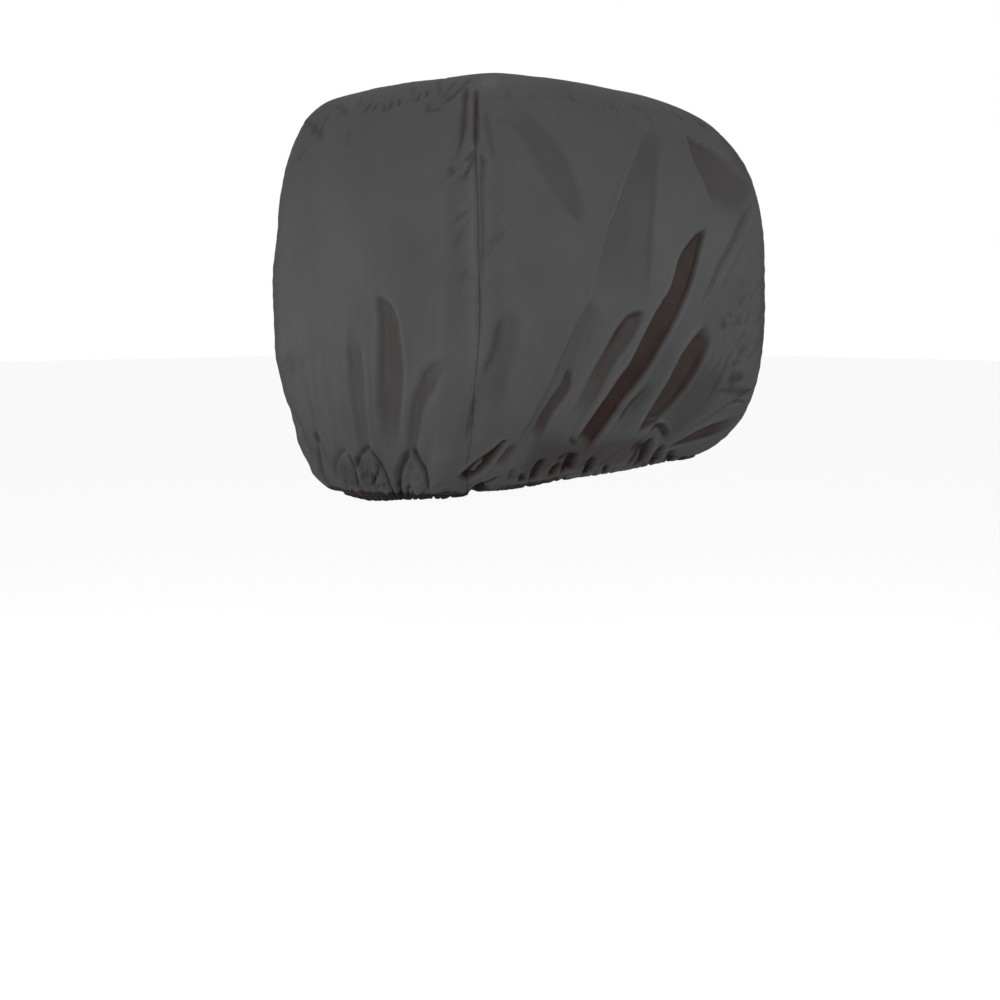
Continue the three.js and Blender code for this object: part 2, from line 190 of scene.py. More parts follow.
STARBOARD_FOLDS = [
    # The three deep folds that slant down towards the stern, deep in painted shade
    Facet([(576, 308), (510, 338), (468, 378), (446, 430), (393, 484), (346, 556), (290, 627), (249, 712)],
          [(576, 308), (548, 334), (514, 402), (459, 488), (404, 560), (347, 630), (300, 716)],
          7.5, 0.97, 3.5, 4, 0.08, 0.04),
    Facet([(364, 466), (322, 488), (292, 518), (248, 588), (206, 668)],
          [(374, 472), (346, 511), (308, 556), (264, 638), (230, 704)], 5, 0.48, 4, 4, 0.08, 0.5),
    Facet([(576, 494), (547, 503), (512, 528), (482, 562), (440, 632), (424, 668), (414, 700)],
          [(580, 497), (578, 530), (549, 582), (503, 636), (452, 682), (418, 702)],
          7, 0.78, 4, 4, 0.12, 0.08),
    # The rim at the head of the second fold, in painted shade, and the thin crease below the first
    Crease([(380, 468), (330, 480), (297, 518), (272, 560)], 3, 5, 3, 1.6, 0.5, 0.15, 0.5),
    Crease([(408, 598), (380, 624), (358, 648), (342, 680)], 4, 5, 4, 1.6, 0.6, 0.3, 0.3),
    Crease([(424, 594), (400, 618), (364, 660)], 13, 15, 1, 2, 0.22, 0.3, 0.3),
    # Narrow bands to the left of the deep folds
    Facet([(200, 560), (182, 600), (156, 638), (132, 690)],
          [(206, 566), (206, 604), (180, 644), (158, 696)], 4, 0.5),
    Crease([(242, 440), (190, 537), (137, 644), (98, 716)], 3, 34, 4, 1.3, 0.24, 0.1, 0.2),
    Crease([(262, 380), (226, 470), (170, 590), (128, 690)], 3, 5, -1.2, 1.6, -0.1, 0.3, 0.3),
    # Broad facets running down from the top seam: a painted highlight on the edge of one, and the foot of
    # another
    Facet([(36, 134), (94, 170), (140, 238), (175, 281), (226, 326)],
          [(96, 124), (168, 180), (204, 224), (232, 322)], 4, 0.14, 12, 4, 0.2, 0.2),
    Crease([(182, 270), (204, 300), (224, 326)], 6, 8, 1, 1.6, 0.12, 0.4, 0.3),
    Facet([(508, 104), (386, 183), (289, 318), (240, 446), (222, 500)],
          [(520, 110), (440, 198), (400, 290), (374, 470)], 4, 0.18, 4, 8, 0.3, 0.35),
    Crease([(498, 110), (385, 180), (327, 247), (285, 318), (236, 446)], 3, 3, -1.5, 2, -0.1, 0.1, 0.3),
    Facet([(618, 112), (572, 178), (586, 230), (612, 300)],
          [(770, 118), (770, 190), (716, 260), (650, 316)], 6, 0.32, 3, 24, 0.3, 0.25),
    # Soft painted shade between the deep folds and above the hem
    Facet([(560, 520), (520, 600), (440, 694)], [(660, 575), (628, 650), (560, 716)],
          3, 0.3, 14, 22, 0.3, 0.2),
    Facet([(440, 500), (360, 600), (300, 700)], [(520, 510), (440, 610), (372, 700)],
          2, 0.16, 12, 14, 0.3, 0.2),
    Facet([(150, 716), (156, 800)], [(460, 690), (450, 800)], 1, 0.4, 30, 30, 0.3, 0.2),
    Crease([(650, 540), (640, 590), (606, 650)], 6, 9, 3, 1.6, 0.22, 0.3, 0.4),
    # Painted shade beside the bow seam
    Crease([(766, 96), (776, 150), (776, 206)], 36, 30, 1, 2, 0.3, 0.3, 0.3),
    Crease([(782, 340), (784, 430), (776, 500), (770, 590)], 34, 30, 1, 2, 0.3, 0.3, 0.3),
    Crease([(716, 500), (710, 530), (690, 570)], 26, 26, 1, 2, 0.16, 0.3, 0.3),
    # The long thin crease that runs down from the bow seam, and the ridge along it
    Crease([(770, 226), (702, 282), (613, 373), (564, 428), (524, 486)], 4, 5, 5, 1.6, 0.26, 0.3, 0.3),
    Crease([(776, 246), (712, 300), (626, 392), (580, 452)], 4, 5, -3, 1.6, -0.16, 0.2, 0.3),
    # Folds that run in from the bow corner above the hem
    Facet([(770, 664), (722, 681), (664, 695), (604, 721), (562, 744)],
          [(770, 676), (727, 712), (676, 731), (618, 741), (562, 746)], 5, 0.8, 3, 3, 0.5, 0.1),
    Crease([(790, 606), (747, 628), (695, 649), (622, 691), (560, 730)], 4, 9, 4, 1.5, 0.16, 0.25, 0.3),
    Crease([(774, 634), (741, 627), (693, 622), (648, 622), (616, 628)], 8, 10, 3, 2, 0.46, 0.2, 0.45),
    # Small crumples near the bow corner
    Crease([(722, 592), (690, 600), (656, 606)], 12, 12, 4, 3, 0.54, 0.35, 0.35),
    Crease([(610, 486), (624, 496), (632, 506)], 9, 9, 3, 2, 0.36, 0.35, 0.35),
    Crease([(640, 472), (652, 478)], 5, 5, 3, 2, 0.3, 0.4, 0.4),
    Crease([(674, 488), (686, 496)], 5, 5, 3, 2, 0.3, 0.4, 0.4),
    Crease([(660, 564), (676, 570), (700, 566)], 6, 7, 3, 2, 0.26, 0.35, 0.35),
    Crease([(764, 620), (742, 627)], 4, 4, 3, 2, 0.4, 0.4, 0.4),
    Crease([(696, 654), (722, 645), (756, 653)], 3, 4, 3, 1.6, 0.46, 0.3, 0.3),
    # The curled lip over the hem with a painted highlight, and painted shade below it
    Crease([(418, 694), (436, 678), (474, 676), (514, 694), (544, 724)], 4, 4, -4, 1.6, -0.12, 0.2, 0.2),
    Crease([(444, 702), (478, 690), (514, 708), (530, 726)], 5, 9, 7, 2, 0.72, 0.25, 0.25),
    Crease([(420, 716), (446, 730), (474, 742)], 12, 12, 4, 2, 0.55, 0.35, 0.3),
    # Gathers that the elastic draws in at the hem
    Crease([(122, 752), (126, 772), (134, 796)], 6, 7, 5, 2, 0.4, 0.3, 0.1),
    Crease([(158, 774), (164, 788), (176, 806)], 7, 7, 7, 2, 1.2, 0.25, 0.1),
    Crease([(192, 734), (187, 756), (192, 780), (206, 806)], 8, 9, 9, 2.4, 1.3, 0.2, 0.08),
    Crease([(240, 748), (240, 770), (252, 800)], 7, 8, 9, 2.4, 1.15, 0.25, 0.08),
    Crease([(258, 730), (268, 754), (290, 790)], 12, 12, 13, 3, 1.4, 0.15, 0.08),
    Crease([(222, 750), (242, 736), (262, 728)], 5, 6, 4, 2, 0.5, 0.3, 0.2),
    Crease([(234, 690), (246, 704), (262, 712)], 5, 5, 3, 2, 0.6, 0.3, 0.3),
    Crease([(322, 742), (337, 766), (362, 804)], 8, 9, 10, 2.4, 1.35, 0.25, 0.08),
    Crease([(392, 772), (408, 790), (430, 806)], 5, 6, 6, 2, 1.0, 0.3, 0.2),
    Crease([(466, 710), (482, 736), (504, 764), (528, 800)], 10, 11, 13, 3, 1.4, 0.15, 0.08),
    Crease([(452, 716), (470, 752), (486, 790)], 8, 6, 7, 2, 0.8, 0.3, 0.15),
    Crease([(530, 730), (546, 752), (566, 774), (606, 806)], 9, 10, 8, 2.2, 1.3, 0.2, 0.15),
    Crease([(594, 756), (628, 780), (680, 808)], 7, 8, 6, 2, 1.2, 0.2, 0.2),
]

# Folds at the corner seam, which cross it into the aft panel
CORNER_FOLDS = [
    # The pinched top of the seam, with a streak of painted shade on each side and slanting wrinkles at its
    # foot
    Crease([(-12, 92), (-8, 128), (-4, 170), (1, 214)], 5, 5, 2.5, 2, 0.56, 0.12, 0.25),
    Crease([(-39, 84), (-33, 113), (-30, 150), (-31, 196), (-44, 240)], 6, 7, 4, 1.8, 0.5, 0.1, 0.45),
    Crease([(6, 124), (15, 160), (25, 190), (34, 234)], 6, 7, 3, 1.6, 0.2, 0.3, 0.3),
    Crease([(-46, 228), (-44, 240), (-42, 252)], 8, 8, 3, 2, 0.26, 0.4, 0.4),
    Crease([(-1, 205), (-11, 216), (-26, 230)], 4, 4, 3, 1.6, 0.36, 0.2, 0.35),
    Crease([(0, 212), (-8, 227), (-17, 243), (-22, 264)], 4, 4, 3, 1.6, 0.36, 0.2, 0.35),
    Crease([(4, 212), (12, 222), (20, 232)], 4, 4, 2, 1.6, 0.2, 0.3, 0.4),
    Crease([(-1, 212), (1, 272), (2, 350), (4, 420)], 4, 4, 1, 2, 0.08, 0.1, 0.4),
    Crease([(9, 206), (11, 272), (12, 350), (12, 440)], 5, 6, 1, 2, 0.34, 0.1, 0.25),
    Crease([(4, 400), (8, 470), (6, 540)], 6, 6, 1, 2, 0.08, 0.3, 0.4),
    Crease([(-21, 345), (-30, 356), (-40, 372)], 5, 5, 2, 1.6, 0.14, 0.35, 0.35),
    Crease([(-12, 394), (-22, 412), (-34, 430)], 5, 5, 2, 1.6, 0.14, 0.35, 0.35),
    Crease([(21, 345), (27, 362), (24, 386)], 4, 4, 2, 1.6, 0.1, 0.35, 0.35),
    # A soft fold and a streak of painted shade beside it lower down
    Facet([(43, 450), (36, 491), (28, 532), (6, 590), (-4, 660)],
          [(62, 450), (80, 496), (76, 541), (60, 600), (40, 672)], 3, 0.17, 9, 11, 0.2, 0.35),
    Crease([(48, 466), (39, 506), (33, 531), (24, 556), (12, 588)], 8, 9, 3, 1.8, 0.26, 0.3, 0.3),
    Crease([(4, 596), (-2, 642), (-6, 700)], 4, 6, 2, 1.6, 0.36, 0.3, 0.4),
    # The hollow above the hem at the corner, in painted shade, with a pillow of cloth in it that has a
    # painted highlight, and its neighbours
    Facet([(78, 686), (50, 708), (24, 728), (2, 756)], [(80, 690), (66, 720), (44, 754), (16, 788)],
          12, 1.1, 3, 3, 0.08, 0.06),
    Crease([(42, 724), (30, 744), (22, 766)], 7, 8, -8, 2, -1.1, 0.3, 0.3),
    Crease([(106, 696), (88, 722), (70, 752)], 11, 12, 6, 2, 0.5, 0.3, 0.3),
    Crease([(62, 786), (56, 802), (40, 828)], 9, 9, 5, 2, 1, 0.3, 0.2),
    Crease([(96, 776), (72, 792), (46, 812)], 5, 6, 8, 2, 1.1, 0.3, 0.2),
]


def short_creases(rows):
    """Short creases from rows of (across, down, length, lean, painted shade)."""
    made = []
    for across, down, length, lean, dark in rows:
        top = (across - lean / 2, down - length / 2)
        foot = (across + lean / 2, down + length / 2)
        made.append(Crease([top, (across, down), foot], 5, 6, 3, 1.8, dark, start=0.4, end=0.4))
    return made


# Puckers at the top seam, in rows of (across, down, length, lean, painted shade)
PUCKERS = [
    (-340, 96, 24, 10, 0.12), (-301, 106, 40, -16, 0.34), (-274, 108, 24, 10, 0.2),
    (-243, 116, 26, 22, 0.34), (-227, 112, 34, 2, 0.4), (-206, 106, 26, 8, 0.3),
    (-184, 84, 32, 20, 0.16), (-161, 99, 34, 4, 0.36),
    (-141, 94, 28, 6, 0.3), (-120, 122, 18, 24, 0.16), (62, 104, 26, 8, 0.14), (130, 100, 22, -6, 0.1),
    (250, 96, 24, 8, 0.12), (372, 102, 26, -8, 0.12), (470, 98, 24, 8, 0.1), (640, 98, 28, 8, 0.18),
    (716, 106, 26, -6, 0.14), (930, 108, 30, 8, 0.2), (1120, 104, 26, -8, 0.2), (1290, 110, 28, 8, 0.2),
    (1460, 112, 28, 6, 0.2), (1620, 104, 30, -8, 0.2), (1800, 104, 28, 8, 0.2), (1960, 108, 28, 6, 0.2),
    (2100, 112, 30, -8, 0.2),
]
TOP_EDGE_FOLDS = short_creases(PUCKERS) + [
    # The slanting folds, and a painted highlight on raised cloth at the top of the corner
    Crease([(-30, 62), (-56, 98), (-76, 113), (-96, 128)], 6, 7, 4, 1.6, 0.34, 0.15, 0.35),
    Crease([(-22, 76), (-46, 106), (-70, 128)], 3, 4, -2, 1.6, -0.16, 0.3, 0.3),
    Crease([(-139, 125), (-101, 131), (-74, 128)], 4, 5, 3, 1.6, 0.22, 0.3, 0.3),
    Facet([(-10, 58), (-6, 98)], [(40, 56), (38, 98)], -1, -0.16, 5, 5, 0.2, 0.2),
    Crease([(24, 154), (64, 158), (90, 174), (108, 206)], 3, 6, 2, 1.5, 0.12, 0.2, 0.4),
    # The crumples at the port corner
    Crease([(-500, 118), (-476, 130), (-442, 144), (-402, 160)], 9, 10, 4, 1.6, 0.36, 0.3, 0.35),
    Crease([(-546, 103), (-516, 114), (-483, 127)], 6, 7, 4, 1.6, 0.2, 0.3, 0.3),
    Crease([(-453, 87), (-412, 97), (-376, 109), (-346, 128)], 4, 5, 3, 1.6, 0.24, 0.2, 0.3),
    Crease([(-335, 144), (-318, 162), (-312, 186)], 6, 8, 2, 1.6, 0.14, 0.3, 0.4),
]

# Soft swells and hollows of the outline at the port and bow corners, and the sag of the hem
SWELLS = [
    Crease([(-575, 300), (-580, 440), (-575, 600)], 100, 100, -9, 2, 0, 0.35, 0.25),
    Crease([(-525, 40), (-530, 90), (-540, 140)], 40, 40, -2.5, 2, 0, 0.35, 0.3),
    Crease([(-556, 590), (-552, 635), (-548, 680)], 45, 45, 5, 2, 0, 0.35, 0.35),
    Crease([(-550, 712), (-545, 750), (-530, 790)], 45, 45, -6, 2, 0, 0.3, 0.3),
    Crease([(775, 40), (790, 130), (800, 230)], 60, 60, -3, 2, 0, 0.35, 0.3),
    Crease([(796, 190), (798, 320), (796, 460)], 60, 60, 2, 2, 0, 0.35, 0.3),
    Crease([(-520, 800), (-390, 836), (-200, 852), (-40, 860), (60, 846), (200, 832), (400, 812),
            (700, 808)], 30, 30, -4, 2, 0, 0.12, 0.12),
]

# Small pleats where the elastic draws the hem in: rows of (across, height, reach, depth, lean)
STARBOARD_PLEATS = [
    (206, 34, 5, 6, -6), (276, 26, 5, 5, 8), (300, 30, 5, 6, -6), (384, 30, 4, 5, 6), (412, 40, 5, 5, 8),
    (448, 30, 4, 4, -6), (560, 36, 5, 6, -8), (592, 34, 5, 6, 8), (640, 34, 5, 6, 10), (668, 30, 5, 5, -8),
    (704, 36, 5, 6, 8), (748, 34, 5, 5, 6), (780, 30, 5, 5, 4),
]
PAST_HEM = 40
CURVE_STEPS = 6


def pleats(rows, hem):
    """Short troughs that run up from a hem and lean a little, from listed rows."""
    made = []
    for across, height, reach, depth, lean in rows:
        edge = float(read_table(hem, across))
        path = [(across + lean, edge - height), (across + lean / 3, edge - height / 2)]
        path.append((across, edge + PAST_HEM))
        # Each pleat is given painted shade in its trough
        made.append(Crease(path, reach, reach * 1.2, depth, flat=1.8, dark=0.9, start=0.5, end=0.02))
    return made


def curve(path):
    """A smooth route through a few (across, down) places, as short straight stretches."""
    points = np.array(path, float)
    points = np.concatenate([[2 * points[0] - points[1]], points, [2 * points[-1] - points[-2]]])
    share = np.linspace(0, 1, CURVE_STEPS + 1)[:-1, None]
    route = []
    for before, start, end, after in zip(points, points[1:], points[2:], points[3:]):
        turn = 2 * before - 5 * start + 4 * end - after
        twist = 3 * start - before - 3 * end + after
        route.append(start + (share * (end - before) + share**2 * turn + share**3 * twist) / 2)
    return np.concatenate([*route, points[-2:-1]])


def follow(path, place):
    """How far each place is to the left of a path, and the share of the path that is passed there."""
    route = curve(path)
    stretches = np.diff(route, axis=0)
    lengths = np.hypot(stretches[:, 0], stretches[:, 1])
    so_far = np.concatenate([[0], np.cumsum(lengths)])
    best = np.full(len(place), np.inf)
    aside, passed = np.zeros(len(place)), np.zeros(len(place))
    for number, stretch in enumerate(stretches):
        offset = place - route[number]
        held = np.clip(offset @ stretch / lengths[number] ** 2, 0, 1)
        gap = offset - held[:, None] * stretch
        distance = np.hypot(gap[:, 0], gap[:, 1])
        side = np.sign(stretch[0] * offset[:, 1] - stretch[1] * offset[:, 0])
        nearer = distance < best
        best = np.where(nearer, distance, best)
        aside = np.where(nearer, side * distance, aside)
        passed = np.where(nearer, so_far[number] + held * lengths[number], passed)
    return aside, passed / so_far[-1]


# The low ridge beside a fold: how high it is and how much highlight is painted on it, as a share of
# the fold, and how far out and how wide it is in half widths of the fold's wall. Slopes past STEEP
# have none. CREASE_RIM gives a crease's ridge both its height and its painted highlight.
RIM_HEIGHT, RIM_PAINTED_LIGHT, CREASE_RIM = 0.15, 0.16, 0.08
CREASE_RIM_AT, CREASE_RIM_WIDE = 1.7, 0.35
FACET_RIM_AT, FACET_RIM_WIDE, STEEP = 2.4, 1.1, 8

# How narrow a crease gets at its ends, and how far a fold can be felt past its edges
NARROWEST, FOLD_REACH, FOLD_MARGIN = 0.4, 2.6, 12


def fading(fold, passed):
    """How much of a fold there is at each share of its length."""
    return ease(passed, 0, fold.start) * (1 - ease(passed, 1 - fold.end, 1))


def crease(fold, place):
    """The depth and painted shade of a crease at each place, with a low ridge outside each wall that gets a
    painted highlight.
    """
    aside, passed = follow(fold.path, place)
    fade = fading(fold, passed)
    wall = np.where(aside > 0, fold.left, fold.right) * (NARROWEST + (1 - NARROWEST) * fade)
    away = np.abs(aside) / wall
    bottom = np.exp(-(away**fold.flat))
    rim = np.exp(-(((away - CREASE_RIM_AT) / CREASE_RIM_WIDE) ** 2))
    share = fade * (bottom - CREASE_RIM * rim)
    return fold.depth * share, fold.dark * share


def facet(fold, place):
    """The depth and painted shade of a facet at each place, with a low ridge and painted highlight outside
    each steep edge.
    """
    left, passed_left = follow(fold.left, place)
    right, passed_right = follow(fold.right, place)
    fade = fading(fold, (passed_left + passed_right) / 2)
    past_left, past_right = -left / fold.soft_left, right / fold.soft_right
    in_left, in_right = ease(past_left, -1, 1), ease(past_right, -1, 1)
    rim = 0
    for past, inside, soft in (past_left, in_right, fold.soft_left), (past_right, in_left, fold.soft_right):
        rim += np.exp(-(((past + FACET_RIM_AT) / FACET_RIM_WIDE) ** 2)) * inside * (soft < STEEP)
    between = in_left * in_right
    return fold.depth * fade * (between - RIM_HEIGHT * rim), fold.dark * fade * (between - RIM_PAINTED_LIGHT * rim)


def pressed_in(fold, across, down):
    """How far in the cloth lies at each place because of one fold, and the shade painted there."""
    creased = isinstance(fold, Crease)
    edge_points = np.array(fold.path if creased else [*fold.left, *fold.right], float)
    reach = FOLD_REACH * (max(fold.left, fold.right) if creased else max(fold.soft_left, fold.soft_right))
    centre = edge_points[:, 0].mean()
    near = np.mod(across - centre + GIRTH / 2, GIRTH) - GIRTH / 2 + centre
    low = edge_points.min(0) - reach - FOLD_MARGIN
    high = edge_points.max(0) + reach + FOLD_MARGIN
    inside = (near > low[0]) & (near < high[0]) & (down > low[1]) & (down < high[1])
    depth, dark = np.zeros(across.shape), np.zeros(across.shape)
    if inside.any():
        place = np.stack([near[inside], down[inside]], -1)
        depth[inside], dark[inside] = crease(fold, place) if creased else facet(fold, place)
    return depth, dark


# Unevenness is worked out on a net of directions: how many rows it has, how many of them lie above
# the crown's edge, and what brings its highest places to about 1
NET_ROWS, NET_START, NET_GAIN = 256, 64, 1.5


def uneven(across, down, pitch, seed):
    """Smooth unevenness from about -1 to 1, a wave every pitch or so, with its own pattern for each
    seed. It closes round the cover."""
    columns = round(GIRTH / pitch)
    angle = np.random.default_rng(seed).uniform(0, 2 * math.pi, (columns, NET_ROWS))
    column, row = np.mod(across, GIRTH) * columns / GIRTH, down / pitch + NET_START
    left, above = np.floor(column).astype(int), np.floor(row).astype(int)
    x, y = column - left, row - above
    ease_x, ease_y = x**3 * (x * (6 * x - 15) + 10), y**3 * (y * (6 * y - 15) + 10)

    def corner(right, below):
        turn = angle[(left + right) % columns, (above + below) % NET_ROWS]
        return np.cos(turn) * (x - right) + np.sin(turn) * (y - below)

    upper = corner(0, 0) * (1 - ease_x) + corner(1, 0) * ease_x
    lower = corner(0, 1) * (1 - ease_x) + corner(1, 1) * ease_x
    return NET_GAIN * (upper * (1 - ease_y) + lower * ease_y)


# How the cloth is drawn in along the seams, and the puckers beside them. The upright seams begin
# over UPRIGHTS_BEGIN, and a pucker grows over PUCKER_STARTS as it leaves its seam.
# SEAM_SHADE is shade painted into the cloth's colour in the dip along each seam
SEAM_DIP, SEAM_REACH, SEAM_SHADE, TOP_SEAM_SHARE = 0.7, 3.0, 0.04, 0.4
PUCKER_DEPTH, PUCKER_REACH, PUCKER_PITCH, PUCKER_RISE, SIDE_SHARE = 2.6, 16, 15, 0.3, 0.6
PUCKER_LENGTH, PULL_LENGTH = 0.25, 0.3
UPRIGHTS_BEGIN, PUCKER_STARTS = (100, 112), (0.5, 5)


def at_the_seams(across, place, down):
    """How far in the cloth is drawn at the seams, with its puckers, and the shade painted along the seams.
    """
    seams = np.array([SIDE_CLOTH, SIDE_CLOTH + END_CLOTH, GIRTH - END_CLOTH, -END_CLOTH])
    to_upright = np.abs(place[..., None] - seams).min(-1)
    to_upright = np.minimum(to_upright, np.abs(place - corner_seam(down)))
    to_top = np.abs(down - top_seam(place))
    upright = ease(down, *UPRIGHTS_BEGIN)
    seam = np.exp(-((to_upright / SEAM_REACH) ** 2)) * upright
    seam = np.maximum(seam, TOP_SEAM_SHARE * np.exp(-((to_top / SEAM_REACH) ** 2)))
    pucker = np.maximum(uneven(across, down * PUCKER_LENGTH, PUCKER_PITCH, 6), -PUCKER_RISE)
    pucker *= np.exp(-to_top / PUCKER_REACH) * ease(to_top, *PUCKER_STARTS)
    pull = uneven(across * PULL_LENGTH, down, PUCKER_PITCH, 7) * upright
    pull *= np.exp(-to_upright / PUCKER_REACH) * ease(to_upright, *PUCKER_STARTS)
    return PUCKER_DEPTH * (pucker + SIDE_SHARE * pull) + SEAM_DIP * seam, SEAM_SHADE * seam


# The casing of the elastic: a dip near its stitches, then a low roll down to the hem. HEM_TURNS
# has rows of (across, down) for where the cloth turns under and out of the light.
HEM_DIP, DIP_REACH, HEM_CASING = 1.4, 2.5, 18
CASING_RISE, RISE_REACH = 2.6, 6
# HEM_SHADE is shade painted into the colour past the turn, over HEM_SHADED millimetres
HEM_SHADE, HEM_SHADED, TURN_WANDER, TURN_PITCH = 1.2, 9, 6, 22
HEM_TURNS = [
    (-570, 750), (-511, 766), (-454, 780), (-378, 788), (-297, 799), (-209, 809), (-76, 814), (9, 816),
    (30, 826), (50, 800), (58, 796), (84, 810), (131, 812), (184, 811), (265, 806), (326, 805),
    (392, 806), (465, 808), (549, 812), (632, 812), (677, 802), (712, 794), (790, 784), (860, 790),
    (2100, 790), (2170, 750),
]


def at_the_hem(across, place, down, hem):
    """How far in the cloth lies at the casing of the elastic, and the shade painted where the hem turns
    under.
    """
    above_hem = read_table(hem, place) - down
    depth = HEM_DIP * np.exp(-(((above_hem - HEM_CASING) / DIP_REACH) ** 2))
    depth -= CASING_RISE * ease(HEM_CASING - above_hem, 0, RISE_REACH)
    past_turn = down - read_table(HEM_TURNS, place) + TURN_WANDER * uneven(across, down, TURN_PITCH, 16)
    return depth, HEM_SHADE * ease(past_turn, 0, HEM_SHADED)


# Fine folds that the elastic draws up from the hem, where they begin and are full, and between
# which places on the starboard panel they slant. DRAWN_SHADE paints their raised cloth lighter and
# their hollows darker.
DRAWN_HEIGHT, DRAWN_SHADE, DRAWN_PITCH, DRAWN_LENGTH = 1.1, 0.07, 27, 0.2
FINER_PITCH, FINER_SHARE = 0.45, 0.4
DRAWN_FROM, DRAWN_SLANT, SLANT_GROWS, SLANT_ENDS = (330, 720), 0.8, (40, 260), (760, 1000)


def drawn_cloth(place, down):
    """The fine folds above the hem, which slant with the deep folds on the starboard panel."""
    slant = DRAWN_SLANT * ease(place, *SLANT_GROWS) * (1 - ease(place, *SLANT_ENDS))
    sideways, along = place + slant * down, down * DRAWN_LENGTH
    fine = uneven(sideways, along, DRAWN_PITCH, 12)
    finer = uneven(sideways, along, DRAWN_PITCH * FINER_PITCH, 13)
    return (fine + FINER_SHARE * finer) * ease(down, *DRAWN_FROM)


# Patches of small crumples: rows of (across, down, half width, half height, strength)
CRUMPLED = [
    (684, 500, 74, 66, 1), (650, 592, 70, 44, 0.8), (720, 390, 44, 60, 0.5), (-34, 300, 34, 86, 0.7),
    (36, 320, 30, 80, 0.5), (-480, 150, 90, 54, 0.7), (-540, 300, 40, 140, 0.5), (-40, 812, 90, 30, 0.9),
    (-250, 766, 150, 44, 1.5), (320, 660, 160, 50, 0.35), (160, 770, 120, 30, 0.6),
    (-420, 770, 90, 40, 0.7), (-480, 520, 60, 90, 0.4), (420, 116, 120, 26, 0.5),
    (640, 790, 90, 26, 0.7), (1480, 480, 80, 80, 0.6), (1720, 690, 160, 50, 0.7),
    (2060, 200, 70, 60, 0.6), (2100, 470, 60, 100, 0.5), (1120, 620, 160, 80, 0.4),
    (1300, 200, 80, 50, 0.5), (860, 420, 50, 90, 0.5), (1060, 770, 160, 40, 0.7),
]
# CRUMPLE_SHADE paints shade into the pressed strokes and a highlight on the ridges among them
CRUMPLE_PITCH, CRUMPLE_DEPTH, CRUMPLE_SHADE, CRUMPLE_RIDGE = 15, 1.5, 0.3, 0.25
CRUMPLE_SLANT, CRUMPLE_LENGTH, STROKE = 0.8, 0.45, (0.1, 0.7)


def crumpled(across, down):
    """Where the cloth has small crumples, as short slanting strokes with ridges among them."""
    strength = np.zeros(across.shape)
    for middle, height, wide, high, most in CRUMPLED:
        aside = np.mod(across - middle + GIRTH / 2, GIRTH) - GIRTH / 2
        strength += most * np.exp(-((aside / wide) ** 2) - ((down - height) / high) ** 2)
    slanted, along = across + CRUMPLE_SLANT * down, CRUMPLE_LENGTH * down
    stroke, ridge = (ease(uneven(slanted, along, CRUMPLE_PITCH, seed), *STROKE) for seed in (14, 15))
    return strength * (stroke - CRUMPLE_RIDGE * ridge)


# Waves of the whole cloth, and the roughness of some patches: heights and pitches
WAVE, WAVE_PITCH, RIPPLE, RIPPLE_PITCH = 2.0, 230, 0.9, 95
ROUGH, ROUGH_PITCH, FINE_ROUGH, FINE_PITCH = 0.45, 26, 0.16, 11
PATCH_PITCH, PATCH_EDGE, ROUGH_LENGTH = 160, (-0.5, 0.6), 0.7


def waves(across, down):
    """The broad waves and the rough patches of the whole cloth, in millimetres."""
    height = WAVE * uneven(across, down, WAVE_PITCH, 1) + RIPPLE * uneven(across, down, RIPPLE_PITCH, 2)
    patch = ease(uneven(across, down, PATCH_PITCH, 3), *PATCH_EDGE)
    height += ROUGH * patch * uneven(across, down * ROUGH_LENGTH, ROUGH_PITCH, 4)
    return height + FINE_ROUGH * patch * uneven(across, down, FINE_PITCH, 5)


# How much the edges of all folds wander, the mottling of their painted shade, the painted light
# that lifts the cloth low down, and the span of painted shade from the brightest painted highlight
# to the darkest
EDGE_WANDER, WANDER_PITCH, FINE_WANDER, FINE_WANDER_PITCH = 2.2, 60, 0.4, 16
MOTTLING, MOTTLING_PITCH = 0.12, 40
LOW_PAINTED_LIGHT, LOW_PAINTED_LIGHT_FROM, CROWN_EDGE = 0.1, (440, 620), (-60, 60)
DARK_MARGIN, DARKEST = 0.2, 1.2


def shade_of(dark):
    """The share from 0 to 1 at which a painted shade lies between the brightest painted highlight and the
    darkest painted shade.
    """
    return (dark + DARK_MARGIN) / (DARK_MARGIN + DARKEST)


def relief(across, down, folds, hem):
    """How far out the cloth stands from the bare form, and the shade painted into its colour, at each
    place.
    """
    crown = 1 - ease(down, *CROWN_EDGE)
    plan = form(across, down)
    height = waves(across, down) * (1 - crown) + waves(plan[..., 0], plan[..., 1]) * crown
    dark = np.zeros(across.shape)
    wander = uneven(across, down, WANDER_PITCH, 8)
    wander += FINE_WANDER * uneven(across, down, FINE_WANDER_PITCH, 9)
    bent = across + EDGE_WANDER * wander
    sunk = down + EDGE_WANDER * uneven(across, down, WANDER_PITCH, 10)
    for fold in folds:
        depth, shade = pressed_in(fold, bent, sunk)
        height -= depth
        dark += shade
    dark *= 1 + MOTTLING * uneven(across, down, MOTTLING_PITCH, 11)
    small = crumpled(across, down)
    height -= CRUMPLE_DEPTH * small
    # Painted shade in the crumples, and painted light that lifts the cloth low down
    dark += CRUMPLE_SHADE * small - LOW_PAINTED_LIGHT * ease(down, *LOW_PAINTED_LIGHT_FROM)

    place = np.mod(across + END_CLOTH + 1, GIRTH) - END_CLOTH - 1
    drawn = drawn_cloth(place, down)
    # Painted highlight on the raised fine folds, painted shade in their hollows
    height += DRAWN_HEIGHT * drawn
    dark -= DRAWN_SHADE * drawn
    for depth, shade in at_the_seams(across, place, down), at_the_hem(across, place, down, hem):
        height -= depth
        dark += shade
    return height, shade_of(np.clip(dark, -DARK_MARGIN, DARKEST))


